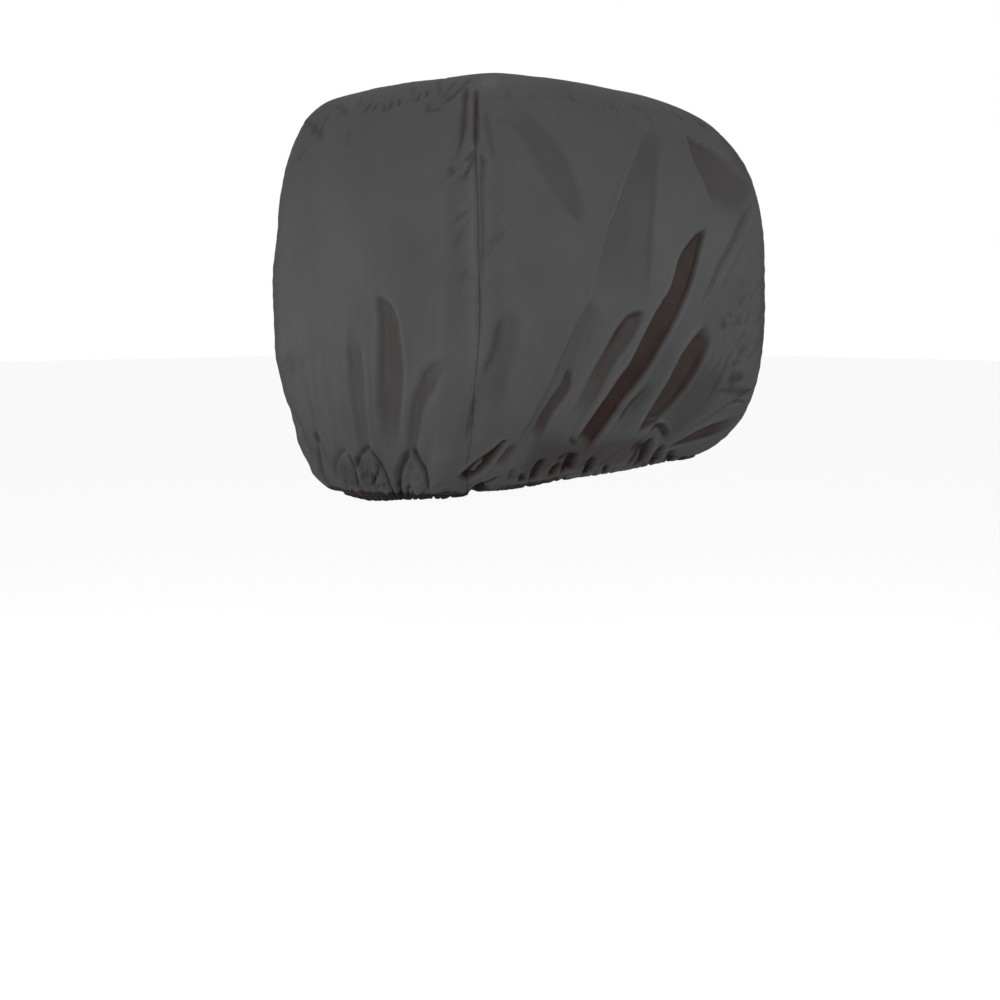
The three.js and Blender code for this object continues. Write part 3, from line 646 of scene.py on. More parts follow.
def cloth_points(across, down, folds, hem):
    """Points of the finished cloth, and the shade painted there."""
    height, dark = relief(across, down, folds, hem)
    return form(across, down) + outward(across, down) * height[..., None], dark


FINE_STEPS = 4001


def stations(count, crowded):
    """Places from 0 to 1 that crowd together near each (place, reach, times) of crowded."""
    fine = np.linspace(0, 1, FINE_STEPS)
    density = np.ones(fine.shape)
    for place, reach, times in crowded:
        density += times * np.exp(-np.abs(fine - place) / reach)
    passed = np.concatenate([[0], np.cumsum((density[1:] + density[:-1]) / 2)])
    return np.interp(np.linspace(0, passed[-1], count), passed, fine)


def put_in_scene(name, data):
    """An object of its own for a mesh, a lamp or a lens."""
    made = bpy.data.objects.new(name, data)
    bpy.context.scene.collection.objects.link(made)
    return made


def sheet_of_cloth(name, points, dark, cut):
    """A panel: a grid, from its bottom row up, whose points move to their places and get a thickness."""
    rows, columns = dark.shape
    grid = bmesh.new()
    bmesh.ops.create_grid(grid, x_segments=columns - 1, y_segments=rows - 1, size=1)
    mesh = bpy.data.meshes.new(name)
    grid.to_mesh(mesh)
    grid.free()
    mesh.vertices.foreach_set("co", (points * MM).ravel())
    mesh.polygons.foreach_set("use_smooth", [True] * len(mesh.polygons))
    corners = np.zeros(len(mesh.loops), np.int32)
    mesh.loops.foreach_get("vertex_index", corners)
    layer = mesh.uv_layers.new(name="cut")
    layer.data.foreach_set("uv", (cut.reshape(-1, 2)[corners] * MM).ravel())
    # The painted shade and highlights of each point, which the material turns into colour
    shade = mesh.attributes.new("dark", "FLOAT", "POINT")
    shade.data.foreach_set("value", dark.ravel())
    mesh.update()
    panel = put_in_scene(name, mesh)
    thickness = panel.modifiers.new("thickness", "SOLIDIFY")
    thickness.thickness = CLOTH * MM
    thickness.offset = -1
    thickness.use_even_offset = True
    thickness.thickness_clamp = 1
    return panel


# Each seam is lapped: the cloth goes on a little below the next panel
LAP_REACH = np.array([0.1, 0.6, 3, 6])
LAP_DEPTH = CLOTH + 0.4

# The hem is turned under round the elastic and goes up again inside
HEM_ROLL = 4
ROLL_ANGLES = np.radians([30, 60, 90, 120, 150, 180])
TURNED_UP = np.array([3, 6, 9, 12])

# Where the rows and columns of a panel's grid crowd together: (place, reach, times), with the
# reach of the columns' ends in millimetres
ROWS_CROWDED = [(0, 0.02, 2.5), (0.78, 0.2, 1.6), (1, 0.06, 1.2)]
END_REACH, START_CROWDED, END_CROWDED, MIDDLE_CROWDED = 12, 2.5, 2, (0.5, 0.3, 1)
USUAL_TOP, MIDWAY, USUAL_HEM = 118, 400, 780


def rolled_hem(edge, across, down):
    """Points and lengths of cloth past a hem's edge: round the elastic and up again inside."""
    out = outward(across, down)
    fallen = form(across, down + 1) - form(across, down - 1)
    fallen /= np.linalg.norm(fallen, axis=-1, keepdims=True)
    rolled = []
    for angle in ROLL_ANGLES:
        rolled.append(edge + HEM_ROLL * (out * (math.cos(angle) - 1) + fallen * math.sin(angle)))
    inside = [rolled[-1] - fallen * rise for rise in TURNED_UP]
    lengths = np.concatenate([HEM_ROLL * ROLL_ANGLES, HEM_ROLL * math.pi + TURNED_UP])
    return np.array(rolled + inside), lengths


def upright_panel(name, start, end, hem, folds, columns, rows):
    """One upright panel, from the top seam down to its hem and round under it."""
    end_reach = END_REACH / (end(MIDWAY) - start(MIDWAY))
    columns_crowded = [(0, end_reach, START_CROWDED), (1, end_reach, END_CROWDED), MIDDLE_CROWDED]
    side, fall = stations(columns, columns_crowded), stations(rows, ROWS_CROWDED)
    share, passed = np.meshgrid(side, fall)
    down = USUAL_TOP + (USUAL_HEM - USUAL_TOP) * passed
    # A seam's place follows from the level and the level from the place, so both are found twice
    for _ in range(2):
        across = start(down) + SEAM_GAP / 2 + (end(down) - start(down) - SEAM_GAP) * share
        top = top_seam(across) + SEAM_GAP / 2
        down = top + (read_table(hem, across) - HEM_ROLL - top) * passed
    across = np.hstack([across, across[:, -1:] + LAP_REACH])
    down = np.hstack([down, np.repeat(down[:, -1:], len(LAP_REACH), 1)])
    across = np.vstack([np.repeat(across[:1], len(LAP_REACH), 0), across])
    down = np.vstack([down[:1] - LAP_REACH[::-1, None], down])
    points, dark = cloth_points(across, down, folds, hem)
    below = np.zeros(across.shape)
    below[:, -len(LAP_REACH):] = LAP_DEPTH
    below[: len(LAP_REACH)] = LAP_DEPTH
    points = points - outward(across, down) * below[..., None]

    under, lengths = rolled_hem(points[-1], across[-1], down[-1])
    points = np.concatenate([points, under])
    # The cloth rolled under the hem gets the full painted shade
    dark = np.concatenate([dark, np.ones(under.shape[:2])])
    cut_under = np.stack([np.tile(across[-1], (len(under), 1)), down[-1] + lengths[:, None]], -1)
    cut = np.concatenate([np.stack([across, down], -1), cut_under])
    return sheet_of_cloth(name, points[::-1], dark[::-1], cut[::-1])


def add_node(tree, kind, name, place):
    """A shader node with a plain name, at its place in the tree."""
    node = tree.nodes.new(kind)
    node.name = node.label = name
    node.location = place
    return node


def join(node, output, other, entry):
    """Joins an output of one shader node to an input of another in the same tree."""
    node.id_data.links.new(node.outputs[output], other.inputs[entry])


def set_inputs(node, values):
    """Sets inputs of a shader node by their names."""
    for entry, value in values.items():
        node.inputs[entry].default_value = value


# Coated polyester: dark grey with a plain weave. Shade and highlights are painted into its colour:
# a lighter grey on ridges, and warmer, darker shade in the troughs of its folds.
RIDGE_HIGHLIGHT_GREY = (0.1, 0.1, 0.099, 1)
CLOTH_GREY = (0.0832, 0.0828, 0.083, 1)
FOLD_SHADE_GREY = (0.0605, 0.055, 0.0545, 1)
FOLD_SHADE_BROWN = (0.034, 0.0182, 0.0155, 1)
HOLLOW_SHADE_BLACK = (0.014, 0.009, 0.0085, 1)
GREY_AT, BROWN_AT = 0.3, 0.85
WEAVE_PITCH, WEAVE_HEIGHT = 0.7, 0.15

cloth = bpy.data.materials.new("coated_cloth")
cloth.use_nodes = True
tree = cloth.node_tree
tree.nodes.clear()
surface = add_node(tree, "ShaderNodeBsdfPrincipled", "coated cloth", (900, 0))
set_inputs(surface, {
    "Roughness": 0.5,
    "Sheen Weight": 0.03,
    "Sheen Roughness": 0.5,
    "Specular IOR Level": 0.14,
})
result = add_node(tree, "ShaderNodeOutputMaterial", "result", (1200, 0))
join(surface, "BSDF", result, "Surface")

# The ramp turns each point's painted shade into colour: painted highlight, the cloth's own grey, then
# painted fold shade in grey, brown and near black
shade = add_node(tree, "ShaderNodeAttribute", "painted shade of folds", (-300, 200))
shade.attribute_name = "dark"
colour = add_node(tree, "ShaderNodeValToRGB", "painted fold shade", (100, 200))
colour.color_ramp.elements[0].color = RIDGE_HIGHLIGHT_GREY
colour.color_ramp.elements[1].color = HOLLOW_SHADE_BLACK
colour.color_ramp.elements.new(shade_of(0)).color = CLOTH_GREY
colour.color_ramp.elements.new(shade_of(GREY_AT)).color = FOLD_SHADE_GREY
colour.color_ramp.elements.new(shade_of(BROWN_AT)).color = FOLD_SHADE_BROWN
join(shade, "Fac", colour, "Fac")

place = add_node(tree, "ShaderNodeTexCoord", "place on the cover", (-700, -100))
clouds = add_node(tree, "ShaderNodeTexNoise", "uneven dye", (-300, 0))
set_inputs(clouds, {"Scale": 9, "Detail": 3})
join(place, "Object", clouds, "Vector")
tone = add_node(tree, "ShaderNodeMapRange", "tone", (0, 0))
set_inputs(tone, {"From Min": 0.3, "From Max": 0.7, "To Min": 0.94, "To Max": 1.05})
join(clouds, "Fac", tone, "Value")
dyed_and_shaded = add_node(tree, "ShaderNodeMix", "dyed cloth with painted shade", (500, 200))
dyed_and_shaded.data_type = "RGBA"
dyed_and_shaded.blend_type = "MULTIPLY"
set_inputs(dyed_and_shaded, {"Factor": 1})
join(colour, "Color", dyed_and_shaded, "A")
join(tone, "Result", dyed_and_shaded, "B")
join(dyed_and_shaded, "Result", surface, "Base Color")

cut_place = add_node(tree, "ShaderNodeUVMap", "place on the cut", (-1100, -500))
cut_place.uv_map = "cut"
threads = add_node(tree, "ShaderNodeVectorMath", "threads", (-900, -500))
threads.operation = "SCALE"
set_inputs(threads, {"Scale": math.pi / (WEAVE_PITCH * MM)})
join(cut_place, "UV", threads, "Vector")
waves_of_thread = add_node(tree, "ShaderNodeVectorMath", "rounds of thread", (-700, -500))
waves_of_thread.operation = "SINE"
join(threads, "Vector", waves_of_thread, "Vector")
raised = add_node(tree, "ShaderNodeVectorMath", "raised threads", (-500, -500))
raised.operation = "ABSOLUTE"
join(waves_of_thread, "Vector", raised, "Vector")
warp_and_weft = add_node(tree, "ShaderNodeSeparateXYZ", "warp and weft", (-300, -500))
join(raised, "Vector", warp_and_weft, "Vector")
over_under = add_node(tree, "ShaderNodeTexChecker", "over and under", (-300, -700))
set_inputs(over_under, {"Scale": 1 / (WEAVE_PITCH * MM)})
join(cut_place, "UV", over_under, "Vector")
weave = add_node(tree, "ShaderNodeMix", "weave", (0, -500))
join(over_under, "Fac", weave, "Factor")
join(warp_and_weft, "X", weave, "A")
join(warp_and_weft, "Y", weave, "B")
woven = add_node(tree, "ShaderNodeBump", "woven surface", (500, -300))
set_inputs(woven, {"Strength": 0.25, "Distance": WEAVE_HEIGHT * MM})
join(weave, "Result", woven, "Height")
join(woven, "Normal", surface, "Normal")


def fit_panel(panel, node):
    """Gives a panel its cloth, hangs it from the root body and hides the solid that it stands for."""
    panel.data.materials.append(cloth)
    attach(panel, "root")
    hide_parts(node)


def straight(across):
    """A seam that runs straight down the cloth."""
    return lambda down: np.full(np.shape(down), float(across))


starboard_folds = STARBOARD_FOLDS + CORNER_FOLDS + TOP_EDGE_FOLDS + SWELLS
starboard_folds += pleats(STARBOARD_PLEATS, STARBOARD_HEM)
starboard = upright_panel(
    "starboard_cloth", corner_seam, straight(SIDE_CLOTH), STARBOARD_HEM, starboard_folds,
    columns=212, rows=214,
)
fit_panel(starboard, "starboard_panel")

# Aft panel: the end that shows on the left, cut from the same cloth. Soft upright folds
# rise from the hem, where the elastic draws it into arches with pillows of cloth between.
AFT_HEM = [(-570, 814), (-390, 836), (-200, 850), (46, 858)]
# As on the starboard panel, each fold's darkness is painted shade, and a negative one a painted highlight
AFT_FOLDS = [
    # The soft upright bands, in painted shade, and the curved one that leans towards the corner seam
    Facet([(-212, 438), (-202, 480), (-206, 540), (-214, 600), (-222, 720)],
          [(-206, 438), (-168, 470), (-152, 544), (-152, 590), (-176, 720)], 4, 0.36, 9, 4, 0.06, 0.35),
    Facet([(-282, 470), (-288, 560), (-290, 640), (-296, 740)],
          [(-262, 480), (-252, 560), (-252, 640), (-258, 740)], 4, 0.24, 9, 5, 0.3, 0.3),
    Facet([(-38, 544), (-92, 558), (-116, 590), (-136, 630), (-154, 740)],
          [(-26, 556), (-54, 570), (-80, 602), (-104, 636), (-130, 740)], 4, 0.32, 5, 7, 0.3, 0.3),
    Crease([(-440, 560), (-446, 660), (-440, 760)], 14, 14, 4, 2, 0.1, 0.4, 0.3),
    Crease([(-453, 652), (-453, 668), (-458, 684)], 7, 7, 4, 1.8, 0.6, 0.4, 0.4),
    Crease([(-520, 610), (-501, 650), (-492, 690), (-500, 726)], 6, 7, 4, 1.6, 0.3, 0.3, 0.3),
    # The arches above the hem, with reddish painted shade in their hollows, and the pillows of cloth
    # beneath them with painted highlights
    Facet([(-400, 716), (-420, 746), (-432, 790)], [(-346, 708), (-352, 750), (-384, 800)],
          3, 0.26, 14, 5, 0.2, 0.2),
    Crease([(-452, 748), (-430, 732), (-395, 711), (-360, 697), (-341, 700)], 4, 7, 4, 1.6, 0.3, 0.2, 0.1),
    Crease([(-343, 698), (-340, 722), (-356, 750), (-396, 786)], 4, 5, 5, 1.6, 0.62, 0.1, 0.3),
    Facet([(-300, 704), (-322, 740), (-350, 800)], [(-262, 694), (-276, 740), (-300, 810)],
          3, 0.2, 10, 12, 0.2, 0.3),
    Crease([(-338, 742), (-318, 716), (-290, 700), (-255, 688)], 4, 6, 5, 1.6, 0.5, 0.25, 0.1),
    Crease([(-264, 680), (-244, 716), (-234, 752), (-240, 800), (-246, 850)],
           5, 5, 6, 1.6, 0.72, 0.15, 0.1),
    Crease([(-266, 712), (-251, 730), (-266, 750), (-300, 768), (-326, 786)],
           4, 5, 5, 1.6, 0.66, 0.25, 0.2),
    Crease([(-314, 702), (-316, 720), (-326, 738)], 11, 11, 2, 2, 0.34, 0.3, 0.3),
    Crease([(-214, 850), (-204, 794), (-183, 746), (-160, 716), (-137, 694)], 8, 8, 7, 1.8, 0.7, 0.1, 0.15),
    Crease([(-138, 690), (-116, 722), (-98, 752), (-80, 816)], 6, 7, 6, 1.6, 0.78, 0.15, 0.2),
    Crease([(-148, 720), (-142, 734), (-140, 746)], 8, 9, 2, 1.6, 0.34, 0.3, 0.3),
    Crease([(-176, 846), (-172, 806), (-152, 772)], 4, 4, 5, 1.8, 0.5, 0.2, 0.3),
    Crease([(-512, 780), (-496, 742), (-476, 710), (-448, 668)], 5, 6, 6, 1.8, 0.4, 0.2, 0.3),
    Crease([(-138, 760), (-128, 792), (-122, 826)], 15, 13, -4, 2, -0.45, 0.3, 0.2),
    Crease([(-276, 776), (-270, 800), (-268, 826)], 8, 8, -4, 2, -0.3, 0.3, 0.2),
    Crease([(-410, 776), (-400, 800), (-396, 816)], 14, 14, -3, 2, -0.2, 0.3, 0.2),
    Crease([(-60, 690), (-52, 760), (-48, 830)], 26, 22, -4, 2, -0.08, 0.3, 0.2),
]
AFT_PLEATS = [
    (-540, 40, 5, 6, 8), (-506, 52, 6, 8, -6), (-448, 34, 5, 6, 6), (-400, 26, 4, 4, -4),
    (-340, 24, 4, 4, 4), (-290, 28, 4, 5, -4), (-262, 24, 4, 5, 4), (-160, 26, 4, 5, 6),
    (-128, 30, 4, 4, -4), (-60, 34, 5, 6, 8), (-28, 26, 4, 5, 6), (6, 30, 4, 5, 8),
]
aft_folds = AFT_FOLDS + CORNER_FOLDS + TOP_EDGE_FOLDS + SWELLS + pleats(AFT_PLEATS, AFT_HEM)
aft = upright_panel(
    "aft_cloth", straight(-END_CLOTH), corner_seam, AFT_HEM, aft_folds, columns=170, rows=214
)
fit_panel(aft, "aft_panel")

# Port panel: the long side away from the view, cut like the starboard one. Its folds are
# fewer and softer, and its hem is gathered by the same elastic.
PORT_HEM = [(1370, 814), (2170, 814)]
# Each fold's darkness is painted shade, and a negative one a painted highlight
PORT_FOLDS = [
    Facet([(1514, 330), (1560, 420), (1600, 530), (1660, 630), (1732, 728)],
          [(1514, 330), (1590, 410), (1642, 512), (1706, 612), (1782, 716)], 9, 0.8, 4, 4, 0.08, 0.06),
    Facet([(1428, 390), (1466, 560), (1540, 734)], [(1432, 382), (1500, 552), (1580, 726)],
          5, 0.42, 4, 6, 0.1, 0.3),
    Facet([(1678, 468), (1750, 604), (1838, 728)], [(1684, 458), (1776, 588), (1866, 714)],
          6, 0.62, 4, 4, 0.12, 0.15),
    Facet([(1836, 306), (1880, 524), (1938, 744)], [(1844, 300), (1922, 516), (1984, 736)],
          5, 0.26, 6, 16, 0.2, 0.3),
    Facet([(2000, 120), (1900, 250), (1796, 420)], [(2040, 128), (1976, 290), (1880, 430)],
          4, 0.16, 4, 20, 0.1, 0.35),
    Facet([(1520, 122), (1590, 234), (1660, 380)], [(1566, 118), (1646, 234), (1706, 380)],
          4, 0.14, 18, 4, 0.15, 0.35),
    Crease([(1620, 606), (1662, 668), (1684, 730)], 5, 5, 4, 1.6, 0.5, 0.3, 0.3),
    Crease([(1800, 560), (1862, 640), (1904, 716)], 4, 6, 4, 1.6, 0.3, 0.3, 0.3),
    Crease([(1400, 250), (1470, 330), (1540, 470), (1572, 560)], 4, 5, 4, 1.6, 0.22, 0.2, 0.3),
    Crease([(1416, 236), (1488, 318), (1560, 450)], 4, 5, -2, 1.6, -0.14, 0.2, 0.3),
    Crease([(1990, 560), (2040, 630), (2076, 700)], 5, 9, 4, 1.6, 0.3, 0.3, 0.3),
    Crease([(2080, 640), (2045, 695), (2000, 760)], 10, 12, 8, 2, 0.8, 0.3, 0.2),
    Crease([(1440, 716), (1452, 750), (1446, 800)], 7, 9, 8, 2, 1.1, 0.2, 0.1),
    Crease([(1612, 720), (1600, 756), (1608, 800)], 8, 9, 9, 2, 1.2, 0.2, 0.1),
    Crease([(1790, 724), (1800, 760), (1792, 806)], 7, 10, 9, 2, 1.2, 0.2, 0.1),
    Crease([(1952, 742), (1944, 772), (1950, 808)], 6, 8, 7, 2, 1, 0.2, 0.1),
]


# The spans of height, reach, depth and lean of these pleats, and how far they stray as a share
# of their pitch
PLEAT_SPANS, PLEAT_STRAY = [(26, 70), (4, 8), (4, 10), (-12, 12)], 0.35


def even_pleats(start, end, pitch, seed):
    """Pleats for a stretch of hem, uneven in pitch, height, reach, depth and lean."""
    draw = np.random.default_rng(seed)
    rows = []
    for across in np.arange(start + pitch / 2, end, pitch):
        strayed = across + draw.uniform(-PLEAT_STRAY, PLEAT_STRAY) * pitch
        rows.append((strayed, *[draw.uniform(*span) for span in PLEAT_SPANS]))
    return rows


port_folds = PORT_FOLDS + TOP_EDGE_FOLDS + SWELLS + pleats(even_pleats(1375, 2165, 36, 11), PORT_HEM)
port = upright_panel(
    "port_cloth", straight(SIDE_CLOTH + END_CLOTH), straight(GIRTH - END_CLOTH), PORT_HEM, port_folds,
    columns=200, rows=190,
)
fit_panel(port, "port_panel")

# Bow panel: the end away from the view, cut like the aft one but with a level hem. Its folds
# are soft, and the same elastic gathers it.
BOW_HEM = [(800, 814), (1370, 814)]
# Each fold's darkness is painted shade, and a negative one a painted highlight
BOW_FOLDS = [
    Facet([(872, 336), (898, 530), (906, 744)], [(886, 332), (944, 524), (956, 740)],
          5, 0.36, 4, 10, 0.1, 0.3),
    Facet([(1232, 310), (1182, 520), (1194, 760)], [(1244, 306), (1232, 512), (1248, 760)],
          6, 0.4, 10, 4, 0.1, 0.3),
    Crease([(1060, 420), (1055, 568), (1080, 730)], 16, 18, 5, 2.4, 0.25, 0.3, 0.25),
    Crease([(996, 540), (990, 640), (1002, 740)], 5, 9, 3, 1.6, 0.2, 0.3, 0.3),
    Crease([(1322, 560), (1316, 650), (1300, 740)], 6, 9, 3, 1.6, 0.24, 0.3, 0.3),
    Crease([(984, 812), (1000, 766), (1022, 728), (1040, 704)], 8, 7, 6, 1.8, 0.55, 0.15, 0.1),
    Crease([(1038, 702), (1060, 730), (1078, 764), (1086, 808)], 5, 7, 6, 1.6, 0.55, 0.1, 0.15),
    Crease([(1120, 808), (1136, 756), (1164, 716), (1180, 700)], 7, 7, 6, 1.6, 0.5, 0.15, 0.1),
    Crease([(1178, 698), (1204, 736), (1216, 800)], 5, 7, 6, 1.6, 0.5, 0.1, 0.15),
    Crease([(1034, 760), (1038, 784), (1036, 810)], 12, 12, -4, 2, -0.3, 0.3, 0.2),
    Crease([(1170, 756), (1172, 784), (1170, 810)], 12, 12, -4, 2, -0.3, 0.3, 0.2),
    Crease([(850, 740), (860, 770), (856, 808)], 6, 8, 7, 2, 1, 0.2, 0.1),
    Crease([(1290, 730), (1282, 766), (1288, 808)], 7, 8, 8, 2, 1.1, 0.2, 0.1),
]
bow_folds = BOW_FOLDS + TOP_EDGE_FOLDS + SWELLS + pleats(even_pleats(805, 1365, 34, 12), BOW_HEM)
bow = upright_panel(
    "bow_cloth", straight(SIDE_CLOTH), straight(SIDE_CLOTH + END_CLOTH), BOW_HEM, bow_folds,
    columns=150, rows=180,
)
fit_panel(bow, "bow_panel")

# Top panel: cut from the same cloth to the outline of the crown, and sewn to the four upright
# panels. It lies on the crown and turns down past its edge to the seam.
# Each fold's darkness is painted shade
TOP_FOLDS = [
    Crease([(-150, 20), (-122, 67), (-96, 108)], 6, 8, 3, 1.6, 0.25, 0.3, 0.2),
    Crease([(-60, 60), (-82, 92), (-100, 128)], 5, 6, 3, 1.5, 0.3, 0.3, 0.3),
]
TOP_STEPS = 182, 150


def top_places():
    """Places on the top panel for a grid whose square rings become the rings round the crown."""
    along, sideways = np.meshgrid(np.linspace(-1, 1, TOP_STEPS[0]), np.linspace(-1, 1, TOP_STEPS[1]))
    ring = np.maximum(np.abs(along), np.abs(sideways))
    ratio_x, ratio_y = along / np.maximum(ring, 1e-9), sideways / np.maximum(ring, 1e-9)
    across = np.select(
        [ratio_y <= -1, ratio_x >= 1, ratio_y >= 1],
        [
            SIDE_CLOTH * (ratio_x + 1) / 2,
            SIDE_CLOTH + END_CLOTH * (ratio_y + 1) / 2,
            SIDE_CLOTH + END_CLOTH + SIDE_CLOTH * (1 - ratio_x) / 2,
        ],
        -END_CLOTH * (ratio_y + 1) / 2,
    )
    seam = top_seam(across) - SEAM_GAP / 2
    return across, -CROWN_REACH + (seam + CROWN_REACH) * ring


# No hem comes near the top panel, so any one serves here
across, down = top_places()
points, dark = cloth_points(across, down, TOP_FOLDS + TOP_EDGE_FOLDS + CORNER_FOLDS + SWELLS, STARBOARD_HEM)
rim = form(across, 0)
centre = form(0, -CROWN_REACH)
from_centre = rim - centre
from_centre /= np.linalg.norm(from_centre, axis=-1, keepdims=True)
flat = form(across, np.minimum(down, 0)) + from_centre * np.maximum(down, 0)[..., None]
top = sheet_of_cloth("top_cloth", points, dark, flat[..., :2])
fit_panel(top, "top_panel")

# Topstitching: polyester thread in the colour of the cloth. One row lies below the top seam,
# one on each side of the corner seams, and one holds the elastic in the hem.
# THREAD is how thick the thread is, and THREAD_OUT how far out it lies, as a share of that.
STITCH_LENGTH, STITCH_PITCH, THREAD, THREAD_OUT = 3.4, 4.6, 0.6, 0.1
BESIDE_SEAM, ABOVE_HEM = 5.5, 16

# How finely the rows are followed, and the levels at which a panel's side seams are read for them
ROW_STEPS, SEAM_LEVEL, UPPER_LEVEL, LOWER_LEVEL = 1500, 120, 150, 800


def stitch_rows(start, end, hem):
    """The places of the rows of stitches on one upright panel."""
    share = np.linspace(0, 1, ROW_STEPS)

    def across_panel(level):
        first, last = start(level) + BESIDE_SEAM, end(level) - BESIDE_SEAM
        return first + (last - first) * share

    top, foot = across_panel(UPPER_LEVEL), across_panel(LOWER_LEVEL)
    rows = [(top, top_seam(top) + BESIDE_SEAM), (foot, read_table(hem, foot) - ABOVE_HEM)]
    for side, way in ((start, 1), (end, -1)):
        highest = top_seam(side(SEAM_LEVEL)) + 2 * BESIDE_SEAM
        lowest = read_table(hem, side(LOWER_LEVEL)) - ABOVE_HEM - BESIDE_SEAM
        down = highest + (lowest - highest) * share
        rows.append((side(down) + way * BESIDE_SEAM, down))
    return rows


def sewn(rows, folds, hem):
    """Middles, half lengths along the row and outward directions of the stitches in some rows."""
    middles, halves, raises = [], [], []
    for across, down in rows:
        points, _ = cloth_points(across, down, folds, hem)
        normals = outward(across, down)
        lengths = np.linalg.norm(np.diff(points, axis=0), axis=1)
        passed = np.concatenate([[0], np.cumsum(lengths)])
        places = np.arange(0, passed[-1] - STITCH_LENGTH, STITCH_PITCH)
        head, tail, raised = (
            np.stack([np.interp(at, passed, values[:, axis]) for axis in range(3)], -1)
            for at, values in ((places, points), (places + STITCH_LENGTH, points), (places, normals))
        )
        middles.append((head + tail) / 2)
        halves.append((tail - head) / 2)
        raises.append(raised)
    return np.concatenate(middles), np.concatenate(halves), np.concatenate(raises)


sewn_panels = [
    (corner_seam, straight(SIDE_CLOTH), STARBOARD_HEM, starboard_folds),
    (straight(-END_CLOTH), corner_seam, AFT_HEM, aft_folds),
    (straight(SIDE_CLOTH + END_CLOTH), straight(GIRTH - END_CLOTH), PORT_HEM, port_folds),
    (straight(SIDE_CLOTH), straight(SIDE_CLOTH + END_CLOTH), BOW_HEM, bow_folds),
]
stitches = [sewn(stitch_rows(start, end, hem), folds, hem) for start, end, hem, folds in sewn_panels]
middles, halves, raises = (np.concatenate(values) for values in zip(*stitches))

# One stitch is a small ball that is drawn out along its row, and all are joined in one mesh. The
# ball's faces come in a different order each time, so they are sorted.
one_stitch = bmesh.new()
bmesh.ops.create_uvsphere(one_stitch, u_segments=6, v_segments=4, radius=1)
ball = np.array([point.co for point in one_stitch.verts])
ball_faces = sorted([point.index for point in face.verts] for face in one_stitch.faces)
one_stitch.free()
asides = np.cross(raises, halves)
asides *= THREAD / 2 / np.linalg.norm(asides, axis=1, keepdims=True)
thread_points = middles + raises * THREAD * THREAD_OUT
thread_points = (
    thread_points[:, None] + ball[:, 0, None] * halves[:, None] + ball[:, 1, None] * asides[:, None]
    + ball[:, 2, None] * raises[:, None] * THREAD / 2
)
thread_faces = []
for number in range(len(middles)):
    thread_faces += [[corner + number * len(ball) for corner in face] for face in ball_faces]
stitch_mesh = bpy.data.meshes.new("topstitching")
stitch_mesh.from_pydata((thread_points.reshape(-1, 3) * MM).tolist(), [], thread_faces)
stitch_mesh.polygons.foreach_set("use_smooth", [True] * len(stitch_mesh.polygons))
stitching = put_in_scene("topstitching", stitch_mesh)

sewing_thread = bpy.data.materials.new("sewing_thread")
sewing_thread.use_nodes = True
thread_tree = sewing_thread.node_tree
thread_finish = thread_tree.nodes["Principled BSDF"]
set_inputs(thread_finish, {"Roughness": 0.55, "Specular IOR Level": 0.2})
thread_place = add_node(thread_tree, "ShaderNodeTexCoord", "place on the cover", (-900, 0))
worn = add_node(thread_tree, "ShaderNodeTexNoise", "faded thread", (-600, 0))
set_inputs(worn, {"Scale": 40})
join(thread_place, "Object", worn, "Vector")
thread_colour = add_node(thread_tree, "ShaderNodeValToRGB", "thread colour", (-300, 0))
thread_colour.color_ramp.elements[0].color = (0.062, 0.061, 0.06, 1)
thread_colour.color_ramp.elements[1].color = (0.1, 0.099, 0.097, 1)
join(worn, "Fac", thread_colour, "Fac")
join(thread_colour, "Color", thread_finish, "Base Color")
stitch_mesh.materials.append(sewing_thread)
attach(stitching, "root")

# Floor: plain and pale, well below the cover
FLOOR_LEVEL = -1.62
FLOOR_REACH = 40
ground = bmesh.new()
bmesh.ops.create_grid(ground, x_segments=1, y_segments=1, size=FLOOR_REACH)
bmesh.ops.translate(ground, verts=ground.verts, vec=(0, 0, FLOOR_LEVEL))
floor_mesh = bpy.data.meshes.new("floor")
ground.to_mesh(floor_mesh)
ground.free()
floor = put_in_scene("floor", floor_mesh)
pale = bpy.data.materials.new("pale_floor")
pale.use_nodes = True
ground_finish = pale.node_tree.nodes["Principled BSDF"]
set_inputs(ground_finish, {
    "Base Color": (0.5, 0.5, 0.5, 1),
    "Roughness": 0.9,
    "Emission Color": (0.8, 0.8, 0.8, 1),
})
floor_seen = add_node(pale.node_tree, "ShaderNodeLightPath", "seen by the camera", (-400, 0))
join(floor_seen, "Is Camera Ray", ground_finish, "Emission Strength")
floor_mesh.materials.append(pale)

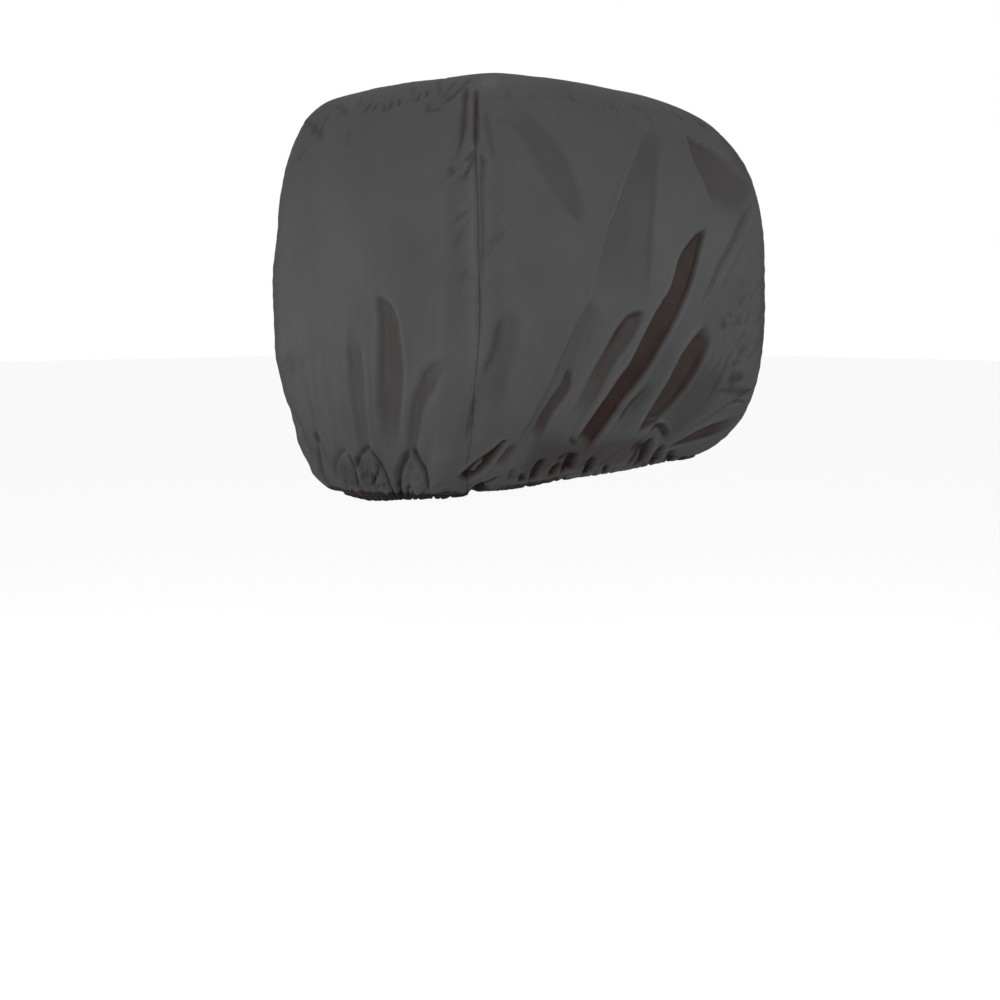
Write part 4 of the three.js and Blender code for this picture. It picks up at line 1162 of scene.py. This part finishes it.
# Camera: a long lens that looks past the near corner between the aft and starboard panels
HEADING, PITCH = math.radians(46.45), math.radians(6.82)
LENS, SENSOR = 54, 36
TO_CORNER, EYE_LEVEL = 2.45, -0.428
CORNER_PIXEL, FRAME_PIXELS = 474.6, 1000
ahead = Vector((math.cos(HEADING), math.sin(HEADING), 0))
to_right = Vector((math.sin(HEADING), -math.cos(HEADING), 0))
aside = (CORNER_PIXEL - FRAME_PIXELS / 2) / FRAME_PIXELS * SENSOR / LENS * TO_CORNER
near_corner = Vector((AFT_FACE, -HALF_WIDTH, 0)) * MM
eye = near_corner - ahead * TO_CORNER - to_right * aside
eye.z = EYE_LEVEL
lens = bpy.data.cameras.new("camera")
lens.lens = LENS
lens.sensor_width = SENSOR
camera = put_in_scene("camera", lens)
look = ahead * math.cos(PITCH) - Vector((0, 0, math.sin(PITCH)))
camera.location = eye
camera.rotation_mode = "QUATERNION"
camera.rotation_quaternion = look.to_track_quat("-Z", "Y")
bpy.context.scene.camera = camera


# Lights: large soft ones in front of both panels that show, at the bow and above, and a pale room
LIT_MIDDLE = Vector((0.1, 0.01, -0.4))


def soft_light(name, place, size, power):
    """A round soft light that faces the middle of the cover."""
    lamp = bpy.data.lights.new(name, "AREA")
    lamp.shape = "DISK"
    lamp.size = size
    lamp.energy = power
    light = put_in_scene(name, lamp)
    light.location = place
    light.rotation_mode = "QUATERNION"
    light.rotation_quaternion = (LIT_MIDDLE - Vector(place)).to_track_quat("-Z", "Y")


soft_light("front_light", (-2.3, -2.5, 0.1), 1.4, 54)
soft_light("port_light", (-2.3, 2.7, -0.3), 1.4, 30)
soft_light("bow_light", (2.7, -2.5, 0.0), 1.4, 25)
soft_light("top_light", (0.0, 0.0, 2.6), 2.4, 15)

room = bpy.data.worlds.new("room")
room.use_nodes = True
bpy.context.scene.world = room
air = room.node_tree
air.nodes.clear()
lighting = add_node(air, "ShaderNodeBackground", "light of the room", (0, 0))
set_inputs(lighting, {"Color": (1, 1, 1, 1), "Strength": 0.27})
backdrop = add_node(air, "ShaderNodeBackground", "backdrop", (0, -200))
set_inputs(backdrop, {"Color": (1, 1, 1, 1), "Strength": 1})
seen = add_node(air, "ShaderNodeLightPath", "seen by the camera", (0, 300))
both = add_node(air, "ShaderNodeMixShader", "room", (300, 0))
sky = add_node(air, "ShaderNodeOutputWorld", "sky", (600, 0))
join(seen, "Is Camera Ray", both, "Fac")
join(lighting, "Background", both, 1)
join(backdrop, "Background", both, 2)
join(both, "Shader", sky, "Surface")
bpy.context.scene.view_settings.view_transform = "Standard"
